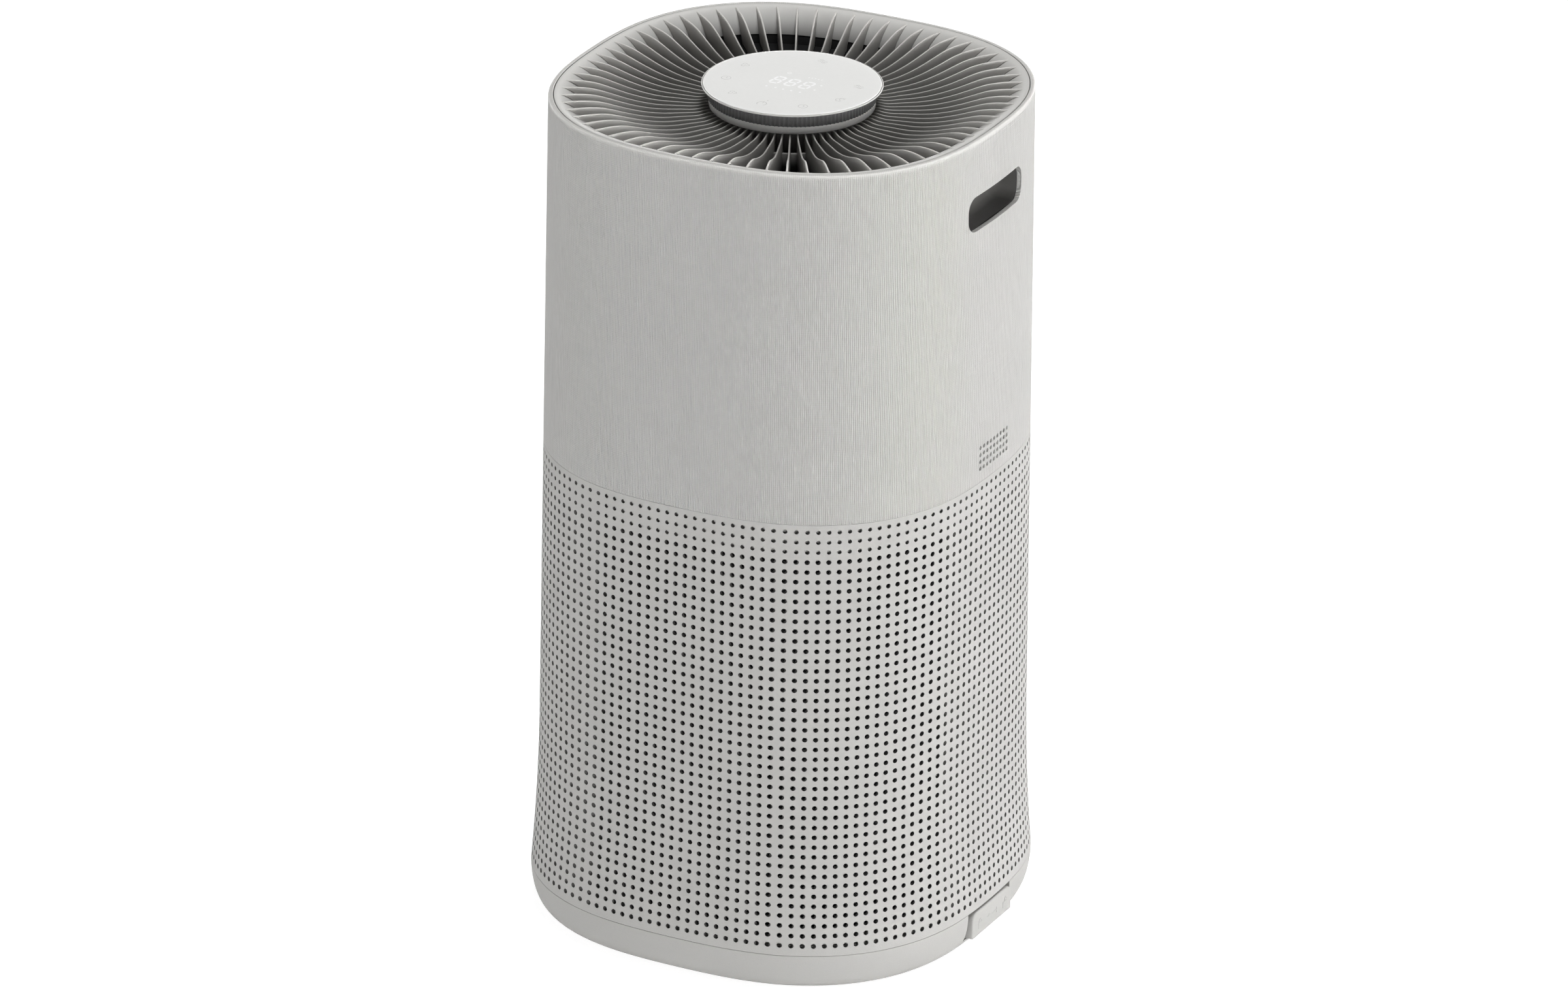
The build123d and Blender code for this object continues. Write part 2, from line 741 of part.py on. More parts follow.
with BuildPart() as touch_board:
    with BuildSketch(Plane.XY.offset(band_low + 1.0)):
        Circle(band_radius - 4.0)
    extrude(amount=board_thickness)
touch_board.part.label = "touch_board"

with BuildPart() as display_leds:
    # three-digit display module and the keys' sensor pads on the board
    with BuildSketch(Plane.XY.offset(band_low + 1.0 + board_thickness)):
        Rectangle(34.0, 18.0)
        with PolarLocations(34.0, 8, start_angle=22.5):
            Circle(4.0)
    extrude(amount=2.0)
display_leds.part.label = "display_leds"


# ---- write each piece ----

pieces = [
    base_tray, rubber_feet, lock_lever, lock_spring,
    filter_lower_cap, prefilter_sleeve, filter_pleats, carbon_layer,
    filter_core, filter_upper_cap, filter_gasket,
    intake_shell, mid_frame, upper_shell, air_sensor,
    power_socket, socket_pins, power_board, board_components,
    fan_deck, deck_screws, fan_duct, fan_wheel, motor_shaft, wheel_nut,
    motor_case, motor_stator, motor_rotor, motor_bearings, motor_dampers,
    diffuser, motor_screws, motor_cover,
    top_rim, outlet_fins, hub_collar, light_band, display_bezel,
    display_disc, touch_board, display_leds,
]

os.makedirs("parts", exist_ok=True)
for piece in pieces:
    export_step(piece.part, f"parts/{piece.part.label}.step")
for pocket in (grip_pocket_right, grip_pocket_left):
    export_step(pocket, f"parts/{pocket.label}.step")
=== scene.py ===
# %% [markdown]
# # A tower air purifier
# Room air goes in through a perforated shell, through a round filter, and a fan blows it out
# at the top between seventy fins round a small touch display. The joints, the sizes and the
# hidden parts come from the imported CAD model. This notebook adds the surfaces that people see.
# Each step makes one piece in mesh code, or one finish out of shader nodes.

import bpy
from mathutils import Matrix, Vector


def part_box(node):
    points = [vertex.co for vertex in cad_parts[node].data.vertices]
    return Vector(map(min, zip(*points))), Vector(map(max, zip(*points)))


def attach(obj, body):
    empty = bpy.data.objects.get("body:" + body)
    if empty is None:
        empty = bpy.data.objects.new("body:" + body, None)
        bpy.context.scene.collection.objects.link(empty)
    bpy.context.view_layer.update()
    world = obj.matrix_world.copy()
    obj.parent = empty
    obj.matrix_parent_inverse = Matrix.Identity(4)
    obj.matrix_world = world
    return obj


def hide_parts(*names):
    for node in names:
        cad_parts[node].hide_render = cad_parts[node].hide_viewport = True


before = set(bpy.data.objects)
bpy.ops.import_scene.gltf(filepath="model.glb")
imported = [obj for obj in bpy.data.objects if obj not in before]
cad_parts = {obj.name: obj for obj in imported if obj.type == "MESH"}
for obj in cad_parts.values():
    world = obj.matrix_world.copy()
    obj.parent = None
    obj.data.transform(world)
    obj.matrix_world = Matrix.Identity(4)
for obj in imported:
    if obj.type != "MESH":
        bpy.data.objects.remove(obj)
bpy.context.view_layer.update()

# %% Libraries and units
import math

import bmesh
import bpy
import numpy as np
from mathutils import Matrix, Vector

MM = 0.001
scene = bpy.context.scene


def lowest(node):
    """Height of a CAD node's underside in millimetres."""
    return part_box(node)[0].z / MM


def highest(node):
    """Height of a CAD node's top in millimetres."""
    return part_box(node)[1].z / MM


tray_bottom = lowest("base_tray")
lip_top = highest("base_tray")
intake_low, intake_high = lowest("intake_shell"), highest("intake_shell") + 0.34
upper_low, tower_top = lowest("upper_shell") - 0.34, highest("upper_shell")
hub_top = highest("display_disc")
tray_top = intake_low - 0.15
print(f"tray {tray_bottom:.1f}-{tray_top:.1f}, intake {intake_low:.1f}-{intake_high:.1f}, "
      f"upper shell {upper_low:.1f}-{tower_top:.1f}, hub top {hub_top:.1f}")

# %% [markdown]
# ## The skin's law
# Every shell follows one outline: a circle that swings in and out four times a turn, which
# reads as a square with bulging sides. It could be drawn as a curve and lofted, but a formula
# gives the exact radius at any angle and height, so shells, rim and lever always agree.

# %% Radius of the skin at an angle and a height
plan_level, mean_radius = 184.0, 149.98
taper, flare_top, flare_radius = 6.0e-5, 130.0, 1400.0


def skin_scale(z):
    """Size of the outline at height z: a slight taper, and an outward flare near the floor."""
    flare = np.maximum(0.0, flare_top - z) ** 2 / (2 * flare_radius)
    return 1 - taper * (z - plan_level) + flare / 150.0


def skin_radius(angle, z):
    swing = 5.6 * np.cos(4 * angle) + 0.25 * np.cos(8 * angle)
    return (mean_radius - swing) * skin_scale(z)


def around(angle, radius, z):
    """Points at these angles and radii, all at height z."""
    return np.stack([radius * np.cos(angle), radius * np.sin(angle), np.full(len(angle), float(z))], 1)


def outline(z, inset=0.0, level=None, count=288):
    """Points round the skin at height z, drawn in by inset. level is the height whose outline is used."""
    angle = np.arange(count) * 2 * np.pi / count
    return around(angle, skin_radius(angle, z if level is None else level) - inset, z)


def circle(radius, z, count=288):
    return around(np.arange(count) * 2 * np.pi / count, radius, z)


print("skin at the front, half way up:", round(float(skin_radius(-np.pi / 2, 270.0)), 2), "mm")

# %% [markdown]
# ## A small mesh workshop
# Most pieces are rings of points joined by strips of faces, as a potter builds a wall. Blender
# could do this with Spin, Screw or Bridge, but those need a context and an edit mode. Here the
# points and faces are collected as arrays, and one call turns them into a shaded mesh.

# %% Shape: collects points and faces
class Shape:
    def __init__(self):
        self.points, self.faces, self.size = [], [], 0

    def add(self, points):
        """Adds points and returns their numbers, in the same layout."""
        points = np.asarray(points, float)
        flat = points.reshape(-1, 3)
        numbers = np.arange(self.size, self.size + len(flat)).reshape(points.shape[:-1])
        self.points.append(flat)
        self.size += len(flat)
        return numbers

    def quads(self, a, b, c, d):
        self.faces += np.stack([np.ravel(a), np.ravel(b), np.ravel(c), np.ravel(d)], 1).tolist()

    def strip(self, low, high):
        """Faces between two closed rings of the same length."""
        self.quads(low, np.roll(low, -1), np.roll(high, -1), high)

    def stack(self, rings, closed=False, caps=False):
        """Joins rings in order. closed joins the last to the first, and caps fills both ends."""
        numbers = [self.add(r) for r in rings]
        for low, high in zip(numbers, numbers[1:]):
            self.strip(low, high)
        if closed:
            self.strip(numbers[-1], numbers[0])
        if caps:
            self.faces += [numbers[0].tolist(), numbers[-1].tolist()]
        return numbers

    def mesh(self, name, crease=35.0):
        """The finished mesh, in metres, smooth except across edges sharper than crease."""
        made = bpy.data.meshes.new(name)
        made.from_pydata(np.concatenate(self.points) * MM, [], self.faces)
        finish_mesh(made, crease)
        return made


def finish_mesh(mesh, crease):
    """Turns all faces outwards, and marks the edges that stay crisp."""
    work = bmesh.new()
    work.from_mesh(mesh)
    bmesh.ops.recalc_face_normals(work, faces=work.faces)
    work.to_mesh(mesh)
    work.free()
    mesh.shade_smooth()
    mesh.set_sharp_from_angle(angle=math.radians(crease))


# %% Put a mesh on its body
def place(mesh, body, finish, slot_name, *stands_for):
    """Makes the object, gives it its finish, and lets it ride on a CAD body."""
    piece = bpy.data.objects.new(mesh.name, mesh)
    scene.collection.objects.link(piece)
    mesh.materials.append(finish)
    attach(piece, body)
    if stands_for:
        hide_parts(*stands_for)
    print(f"{piece.name}: {len(mesh.polygons)} faces, rides on {body}")
    return piece


def cut(mesh, cutters, crease=35.0):
    """Takes the cutters' volume out of a mesh with one exact Boolean, and returns the new mesh."""
    block = bpy.data.objects.new("block", mesh)
    tool = bpy.data.objects.new("tool", cutters)
    for item in (block, tool):
        scene.collection.objects.link(item)
    boolean = block.modifiers.new("cut", "BOOLEAN")
    boolean.operation, boolean.solver, boolean.object = "DIFFERENCE", "EXACT", tool
    graph = bpy.context.evaluated_depsgraph_get()
    result = bpy.data.meshes.new_from_object(block.evaluated_get(graph))
    result.name = mesh.name + "_cut"
    for item in (block, tool):
        bpy.data.objects.remove(item)
    finish_mesh(result, crease)
    return result


def rounded_box_loop(width, height, radius, steps=8):
    """Corner points of a rounded rectangle round (0, 0), as (across, up)."""
    loop = []
    for corner, (sx, sy) in enumerate(((1, 1), (-1, 1), (-1, -1), (1, -1))):
        for step in range(steps + 1):
            turn = math.radians(90 * corner + 90 * step / steps)
            loop.append((sx * (width / 2 - radius) + radius * math.cos(turn),
                         sy * (height / 2 - radius) + radius * math.sin(turn)))
    return np.array(loop)


# %% [markdown]
# ## Node helpers
# Materials are built from nodes in code. Linking nodes by hand is long-winded, so `node` takes
# the inputs as a dictionary: a socket is linked, and anything else is set as the input's value.

# %% node, group and material helpers
def feed(tree, made, inputs):
    """Links sockets to a node's inputs. Anything else becomes the input's value."""
    for key, value in inputs.items():
        if isinstance(value, bpy.types.NodeSocket):
            tree.links.new(value, made.inputs[key])
        else:
            made.inputs[key].default_value = value


def node(tree, kind, inputs=None, out=0, **settings):
    """Adds a node and returns one of its outputs."""
    made = tree.nodes.new(kind)
    for key, value in settings.items():
        setattr(made, key, value)
    feed(tree, made, inputs or {})
    return made.outputs[out]


def sums(tree, operation, *values):
    """A Math node on sockets or numbers."""
    return node(tree, "ShaderNodeMath", dict(enumerate(values)), operation=operation)


def remap(tree, value, low, high, to_low=0.0, to_high=1.0):
    return node(tree, "ShaderNodeMapRange",
                {"Value": value, "From Min": low, "From Max": high, "To Min": to_low, "To Max": to_high})


def new_group(name, inputs, outputs):
    """A shader node group with named sockets. inputs maps a name to (socket type, default)."""
    tree = bpy.data.node_groups.new(name, "ShaderNodeTree")
    for label, (kind, default) in inputs.items():
        socket = tree.interface.new_socket(name=label, in_out="INPUT", socket_type="NodeSocket" + kind)
        if default is not None:
            socket.default_value = default
    for label, kind in outputs.items():
        tree.interface.new_socket(name=label, in_out="OUTPUT", socket_type="NodeSocket" + kind)
    return tree, tree.nodes.new("NodeGroupInput").outputs, tree.nodes.new("NodeGroupOutput").inputs


def use_group(tree, group, inputs):
    """Places a node group in a material and returns all of its outputs."""
    made = tree.nodes.new("ShaderNodeGroup")
    made.node_tree = group
    feed(tree, made, inputs)
    return made.outputs


def linear(*levels):
    """Display levels 0-255 as a linear colour with full alpha."""
    levels = [v / 255 for v in (levels if len(levels) == 3 else levels * 3)]
    return [v / 12.92 if v <= 0.04045 else ((v + 0.055) / 1.055) ** 2.4 for v in levels] + [1.0]


def new_material(name, roughness=0.5, **settings):
    """A Principled material. Underscores in a setting's name stand for spaces."""
    made = bpy.data.materials.new(name)
    made.use_nodes = True
    shader = made.node_tree.nodes["Principled BSDF"]
    shader.inputs["Roughness"].default_value = roughness
    for key, value in settings.items():
        shader.inputs[key.replace("_", " ")].default_value = value
    place_here = node(made.node_tree, "ShaderNodeTexCoord", out="Object")
    return made, made.node_tree, shader, place_here


def tint(tree, shader, mask, low, high):
    """Base Color runs from low to high with a 0-1 mask."""
    colour = node(tree, "ShaderNodeMix", {"Factor": mask, 6: low, 7: high}, out=2, data_type="RGBA")
    tree.links.new(colour, shader.inputs["Base Color"])


def relief(tree, shader, height, distance):
    """Bump from a height mask. distance is how deep a full step of the mask is, in metres."""
    normal = node(tree, "ShaderNodeBump", {"Height": height, "Distance": distance, "Strength": 1.0})
    tree.links.new(normal, shader.inputs["Normal"])

# %% [markdown]
# ## Shared effects
# Moulded plastic is never a flat colour: the tool leaves a fine grain, and the tone drifts a
# little over a large part. An image could carry that, but noise measured in metres keeps its
# true size on every piece. Each effect is built once as a node group and placed where needed.

# %% Moulded grain and slow drift of tone
grain, grain_in, grain_out = new_group(
    "moulded_grain", {"Position": ("Vector", None), "Size": ("Float", 0.0006)},
    {"Height": "Float", "Drift": "Float"})
grain_rate = sums(grain, "DIVIDE", 1.0, grain_in["Size"])
fine = node(grain, "ShaderNodeTexNoise",
            {"Vector": grain_in["Position"], "Scale": grain_rate, "Detail": 2.0})
pits = node(grain, "ShaderNodeTexVoronoi",
            {"Vector": grain_in["Position"], "Scale": grain_rate}, out="Distance")
slow = node(grain, "ShaderNodeTexNoise", {"Vector": grain_in["Position"], "Scale": 14.0, "Detail": 1.0})
grain.links.new(sums(grain, "ADD", sums(grain, "MULTIPLY", fine, 0.7), sums(grain, "MULTIPLY", pits, 0.3)),
                grain_out["Height"])
drift = sums(grain, "ADD", sums(grain, "MULTIPLY", fine, 0.5), sums(grain, "MULTIPLY", slow, 0.5))
grain.links.new(remap(grain, drift, 0.3, 0.7), grain_out["Drift"])
print("group moulded_grain:", len(grain.nodes), "nodes")

# %% [markdown]
# The upper shell carries a linen pattern cut into the mould: upright threads of uneven width
# crossed by finer level ones. Two noises do it. Each is squeezed along its thread, so blobs
# become threads, and a third noise swells them here and there into slubs. The relief fades out
# just under the top lip, which is smooth.

# %% Linen relief
lip_low = tower_top * MM - 0.0028
lip_fade = 0.0015
linen, linen_in, linen_out = new_group(
    "linen_relief",
    {"Position": ("Vector", None), "Threads round": ("Float", 772.0), "Level thread": ("Float", 0.0012)},
    {"Height": "Float", "Painted groove shade": "Float"})


def stretched(rate_across, rate_up, detail=1.0):
    """Noise drawn out along one direction. Rates are how many blobs there are to a metre."""
    rates = (rate_across, rate_across, rate_up)
    where = node(linen, "ShaderNodeVectorMath", {0: linen_in["Position"], 1: rates}, operation="MULTIPLY")
    return node(linen, "ShaderNodeTexNoise",
                {"Vector": where, "Scale": 1.0, "Detail": detail, "Roughness": 0.6})


def thread(phase, wander, amount):
    """A row of round-backed threads, 0 in the grooves and 1 on their backs."""
    shifted = sums(linen, "ADD", phase, sums(linen, "MULTIPLY", wander, amount))
    return sums(linen, "ABSOLUTE", sums(linen, "SINE", sums(linen, "MULTIPLY", shifted, 0.5)))


node(linen, "ShaderNodeSeparateXYZ", {"Vector": linen_in["Position"]})
east, north, up = linen.nodes[-1].outputs
bearing = sums(linen, "MULTIPLY", sums(linen, "ARCTAN2", north, east), linen_in["Threads round"])
rise = sums(linen, "DIVIDE", sums(linen, "MULTIPLY", up, 2 * math.pi), linen_in["Level thread"])
upright = thread(bearing, stretched(260.0, 60.0), 5.0)
level_threads = thread(rise, stretched(60.0, 300.0), 6.0)
swell = remap(linen, stretched(420.0, 120.0), 0.35, 0.65, 0.55, 1.0)
fuzz = stretched(900.0, 700.0, 2.0)
upright_part = sums(linen, "MULTIPLY", sums(linen, "MULTIPLY", upright, swell), 0.75)
level_part = sums(linen, "MULTIPLY", level_threads, 0.16)
fuzz_part = sums(linen, "MULTIPLY", fuzz, 0.20)
crossed = sums(linen, "ADD", upright_part, sums(linen, "ADD", level_part, fuzz_part))
below_lip = remap(linen, up, lip_low, lip_low + lip_fade, 1.0, 0.0)
linen.links.new(sums(linen, "MULTIPLY", crossed, below_lip), linen_out["Height"])
# Painted shade: this colour mask is low in the grooves and high on the threads' backs.
linen.links.new(remap(linen, crossed, 0.2, 0.9), linen_out["Painted groove shade"])
print("group linen_relief:", len(linen.nodes), "nodes")

# %% [markdown]
# Turned and ground metal parts carry fine rings round their axis. A noise that changes quickly
# with height and slowly round the part gives those lines without any picture.

# %% Turned lines
turned, turned_in, turned_out = new_group(
    "turned_lines", {"Position": ("Vector", None), "Lines": ("Float", 2500.0)}, {"Mask": "Float"})
turned_rates = node(turned, "ShaderNodeCombineXYZ", {"X": 60.0, "Y": 60.0, "Z": turned_in["Lines"]})
turned_at = node(turned, "ShaderNodeVectorMath", {0: turned_in["Position"], 1: turned_rates},
                 operation="MULTIPLY")
turned_noise = node(turned, "ShaderNodeTexNoise", {"Vector": turned_at, "Scale": 1.0, "Detail": 2.0})
turned.links.new(remap(turned, turned_noise, 0.3, 0.7), turned_out["Mask"])

# %% [markdown]
# ## Finishes
# Nearly everything is moulded plastic, so one function makes those finishes: two close tones,
# a grain size and a depth. The tones are chosen for how light each part is next to the others.
# The bowl and the fins also take painted shade: their colour darkens with depth, on top of the real shade
# between the blades.

# %% Moulded plastics and rubber
def moulded(name, dark, light, roughness, size=0.0006, depth=0.00002, painted_depth_shade=None, **settings):
    """Painted depth shade: (deep level, height of the deep tone, height of the full tone), heights in mm."""
    made, tree, shader, at = new_material(name, roughness, **settings)
    out = use_group(tree, grain, {"Position": at, "Size": size})
    tint(tree, shader, out["Drift"], linear(*dark), linear(*light))
    # Painted shade: below the given heights the colour is darkened towards the deep level.
    if painted_depth_shade:
        deep, low, high = painted_depth_shade
        surface = shader.inputs["Base Color"].links[0].from_socket
        level = node(tree, "ShaderNodeSeparateXYZ", {"Vector": at}, out="Z")
        tint(tree, shader, remap(tree, level, low * MM, high * MM), linear(deep), surface)
    relief(tree, shader, out["Height"], depth)
    return made


shell_finish = moulded("pale_grey_shell", (170, 169, 166), (174, 173, 170), 0.6, size=0.0010, depth=0.00012)
# Painted shade: a dark finish for the walls inside the intake holes.
hole_shade_finish = moulded("hole_wall_painted_shade", (92, 91, 89), (98, 97, 95), 0.7, size=0.0010, depth=0.00004)
# Painted shade: the rim's colour darkens with depth down the bowl.
rim_painted_shade_finish = moulded("pale_grey_satin_painted_shade", (190, 189, 186), (194, 193, 190), 0.6, size=0.0010, depth=0.000006,
                     painted_depth_shade=(50, 524.0, 542.0))
# Painted light: the collar is lighter than the rim's plastic, to make up for the shadow under the display's
# overhang.
collar_painted_light_finish = moulded("collar_grey_painted_light", (232, 231, 228), (236, 235, 232), 0.5, size=0.0010, depth=0.000006)
# Painted shade: the fins' colour darkens with depth between the blades.
fin_painted_shade_finish = moulded("fin_grey_painted_shade", (190, 188, 184), (194, 192, 188), 0.45, size=0.0012, depth=0.00001,
                     painted_depth_shade=(20, 512.0, 541.0))
bezel_finish = moulded("bezel_grey", (176, 175, 172), (182, 181, 178), 0.38, size=0.0010, depth=0.00001)
black_finish = moulded("black_structure", (12, 12, 13), (17, 17, 18), 0.75, size=0.0008, depth=0.00003,
                       Specular_IOR_Level=0.15)
pocket_finish = moulded("charcoal_pocket", (92, 91, 89), (98, 97, 95), 0.32, size=0.0006, depth=0.00002)
wheel_finish = moulded("fan_wheel_grey", (170, 170, 170), (182, 182, 181), 0.5, size=0.0008, depth=0.00002)
cap_finish = moulded("filter_cap_grey", (120, 123, 126), (130, 133, 136), 0.6, size=0.0008, depth=0.00004)
part_finish = moulded("component_black", (60, 60, 64), (78, 78, 82), 0.5, size=0.0006, depth=0.00003)
rubber_finish = moulded("foot_rubber", (50, 50, 50), (64, 63, 62), 0.8, size=0.0005, depth=0.00005)
foam_finish = moulded("gasket_foam", (82, 82, 84), (112, 112, 112), 0.95, size=0.0012, depth=0.0003)
band_finish = moulded("smoked_band", (84, 84, 84), (94, 94, 93), 0.3, size=0.0012, depth=0.00001,
                      Coat_Weight=0.3)
mark_finish = moulded("printed_grey", (198, 198, 196), (202, 202, 200), 0.5)
lamp_finish = moulded("printed_white", (246, 246, 246), (250, 250, 250), 0.45)
disc_finish = moulded("display_white", (233, 233, 231), (236, 236, 234), 0.3, size=0.0020, depth=0.000002,
                      Coat_Weight=0.25, Coat_Roughness=0.2)
print("finishes so far:", len(bpy.data.materials))

# %% Linen-patterned plastic
linen_finish, tree, shader, at = new_material("linen_grey_plastic", 0.6)
weave = use_group(tree, linen, {"Position": at, "Threads round": 772.0, "Level thread": 0.0012})
# Painted shade: the linen is darker in its grooves and lighter on the threads.
tint(tree, shader, weave["Painted groove shade"], linear(176, 175, 172), linear(190, 189, 186))
relief(tree, shader, weave["Height"], 0.0008)

# %% [markdown]
# The filter's finishes only show when the housing is lifted. The pre-filter is a net, so the
# pleats are seen through it: a net is cheapest as a hole pattern in Alpha, from two waves.

# %% Filter net, pleated paper and carbon
net_finish, tree, shader, at = new_material("filter_net", 0.7)
node(tree, "ShaderNodeSeparateXYZ", {"Vector": at})
east, north, up = tree.nodes[-1].outputs
bearing = sums(tree, "MULTIPLY", sums(tree, "ARCTAN2", north, east), 104 * 3.0)
up_wave = sums(tree, "SINE", sums(tree, "MULTIPLY", up, 2 * math.pi / 0.0021))
round_wave = sums(tree, "SINE", bearing)
weft = sums(tree, "GREATER_THAN", up_wave, -0.1)
warp = sums(tree, "GREATER_THAN", round_wave, -0.1)
tree.links.new(sums(tree, "MAXIMUM", weft, warp), shader.inputs["Alpha"])
net_grain = use_group(tree, grain, {"Position": at, "Size": 0.0004})
tint(tree, shader, net_grain["Drift"], linear(34, 34, 35), linear(46, 46, 47))
relief(tree, shader, sums(tree, "MAXIMUM", up_wave, round_wave), 0.0002)

paper_finish, tree, shader, at = new_material("pleated_paper", 0.9, Sheen_Weight=0.2)
fibre = node(tree, "ShaderNodeTexNoise", {"Vector": at, "Scale": 1400.0, "Detail": 4.0, "Roughness": 0.7})
tint(tree, shader, remap(tree, fibre, 0.3, 0.7), linear(222, 221, 216), linear(240, 239, 235))
relief(tree, shader, fibre, 0.0001)

carbon_finish, tree, shader, at = new_material("carbon_granules", 0.75)
granule = node(tree, "ShaderNodeTexVoronoi", {"Vector": at, "Scale": 620.0}, out="Distance")
tint(tree, shader, granule, linear(30, 30, 30), linear(66, 66, 66))
relief(tree, shader, granule, 0.0006)
print("filter finishes:", net_finish.name, paper_finish.name, carbon_finish.name)

# %% Metals, winding and circuit board
def metal(name, dark, light, roughness, lines):
    made, tree, shader, at = new_material(name, roughness, Metallic=1.0)
    mask = use_group(tree, turned, {"Position": at, "Lines": lines})["Mask"]
    tint(tree, shader, mask, linear(*dark), linear(*light))
    tree.links.new(remap(tree, mask, 0.0, 1.0, roughness - 0.07, roughness + 0.1), shader.inputs["Roughness"])
    relief(tree, shader, mask, 0.00002)
    return made


steel_finish = metal("ground_steel", (176, 177, 180), (206, 207, 210), 0.32, 2600.0)
winding_finish = metal("copper_winding", (150, 84, 44), (214, 132, 80), 0.42, 1900.0)
magnet_finish = metal("magnet_ring", (78, 78, 82), (104, 104, 108), 0.55, 1500.0)

board_finish, tree, shader, at = new_material("solder_mask", 0.35, Coat_Weight=0.4)
tracks = node(tree, "ShaderNodeTexBrick", {"Vector": at, "Scale": 240.0, "Color1": (0, 0, 0, 1),
                                           "Color2": (0.3, 0.3, 0.3, 1), "Mortar": (1, 1, 1, 1)})
track_mask = sums(tree, "ADD", tracks, 0.0)
tint(tree, shader, track_mask, linear(22, 76, 44), linear(52, 122, 76))
relief(tree, shader, track_mask, 0.00004)
print("metal finishes:", steel_finish.name, winding_finish.name, magnet_finish.name, board_finish.name)

# %% [markdown]
# ## The perforated intake shell
# A bright skin full of small round holes, one every 6.4 mm in rows 6.6 mm apart. The moulder's
# tool slides out in eight directions, so the holes of each eighth are all parallel. A Boolean
# with six thousand cutters would take minutes, and a hole pattern in Alpha would look like
# paper, because the wall is 2.5 mm thick. So the wall is built as cells: each has twelve border
# points and a twelve-sided hole, and each hole has its own inner wall in a darker finish, which
# is painted shade inside the holes. The holes of the top three rows are smaller.

# %% Pattern of the perforations
rows, columns, sectors = 43, 18, 8
row_pitch, column_pitch = 6.593, 6.4
hole_radius, small_radius, small_rows, wall = 1.6, 1.35, 3, 2.5
first_row = 32.4


def beside(sector, offset, z, inside=0.0):
    """Point of the skin, inside it by that much, that stands offset sideways of a sector's middle."""
    middle = -np.pi / 2 + sector * np.pi / 4
    swing = np.zeros(np.broadcast(sector, offset, z).shape)
    for _ in range(8):
        radius = skin_radius(middle + swing, z) - inside
        swing = np.arcsin(offset / radius)
    angle = middle + swing
    return np.stack([radius * np.cos(angle), radius * np.sin(angle), z + 0 * angle], -1)


half_sector = 57.44
edges = np.clip((np.arange(columns + 1) - columns / 2) * column_pitch, -half_sector, half_sector)
thirds = np.concatenate([np.linspace(a, b, 4)[:3] for a, b in zip(edges, edges[1:])])
node_plan = beside(np.repeat(np.arange(sectors), len(thirds)), np.tile(thirds, sectors), plan_level)
node_angle = np.arctan2(node_plan[:, 1], node_plan[:, 0])
node_level = first_row - row_pitch / 2 + np.arange(3 * rows + 1) * row_pitch / 3
print(len(node_angle), "points round,", rows * columns * sectors, "holes")


# %% Build the cells
def skin_ring(z, inset):
    return around(node_angle, skin_radius(node_angle, z) - inset, z)


shell = Shape()
used = (np.arange(3 * rows + 1)[:, None] % 3 == 0) | (np.arange(len(node_angle))[None, :] % 3 == 0)
around_hole = np.radians(-15 + 30 * np.arange(12))
step_round = np.array([3, 3, 3, 2, 1, 0, 0, 0, 0, 1, 2, 3])
step_up = np.array([1, 2, 3, 3, 3, 3, 2, 1, 0, 0, 0, 0])
grid = np.meshgrid(np.arange(rows), np.arange(columns * sectors), indexing="ij")
row, column = [v.ravel() for v in grid]
border = ((3 * row)[:, None] + step_up, ((3 * column)[:, None] + step_round) % len(node_angle))
middle_level = first_row + row * row_pitch
middle_offset = ((column % columns) - (columns - 1) / 2) * column_pitch
middle_offset = middle_offset * skin_scale(middle_level) / skin_scale(plan_level)
radius_here = np.where(row < rows - small_rows, hole_radius, small_radius)[:, None]
hole_offset = middle_offset[:, None] + radius_here * np.cos(around_hole)
hole_level = middle_level[:, None] + radius_here * np.sin(around_hole)
hole_sector = np.repeat((column // columns)[:, None], 12, 1)
skins = []
for inside in (0.0, wall):
    lattice = np.stack([skin_ring(z, inside) for z in node_level])
    numbers = np.full(used.shape, -1)
    numbers[used] = shell.add(lattice[used])
    holes = shell.add(beside(hole_sector, hole_offset, hole_level, inside))
    corners = numbers[border]
    shell.quads(corners, np.roll(corners, -1, 1), np.roll(holes, -1, 1), holes)
    skins.append((numbers, holes))
(outer, outer_holes), (inner, inner_holes) = skins
before = len(shell.faces)
shell.quads(outer_holes, np.roll(outer_holes, -1, 1), np.roll(inner_holes, -1, 1), inner_holes)
hole_faces = range(before, len(shell.faces))

# %% Close the shell's lower and upper edges
for start, levels in ((0, (intake_low + 0.2, intake_low)), (-1, (intake_high - 0.2, intake_high))):
    near, end = levels
    rings = [shell.add(skin_ring(z, inset)) for z, inset in
             ((near, 0.0), (end, 0.15), (end, wall - 0.3), (near, wall))]
    chain = [outer[start], *rings, inner[start]]
    for low, high in zip(chain, chain[1:]):
        shell.strip(low, high)
shell_mesh = shell.mesh("intake_shell_perforated")
place(shell_mesh, "housing", shell_finish, "shell_plastic", "intake_shell")
# The hole walls take the dark finish: painted shade inside the holes.
shell_mesh.materials.append(hole_shade_finish)
for face in shell_mesh.polygons[hole_faces.start:hole_faces.stop]:
    face.material_index = 1

# %% [markdown]
# ## The upper shell and its openings
# One smooth wall with a rounded top lip, two hand grips, a small grille for the air sensor and
# the mains socket's opening. Here a few cutters are enough, so the wall is built as rings and
# the openings are cut with an exact Boolean, which keeps their edges sharp.

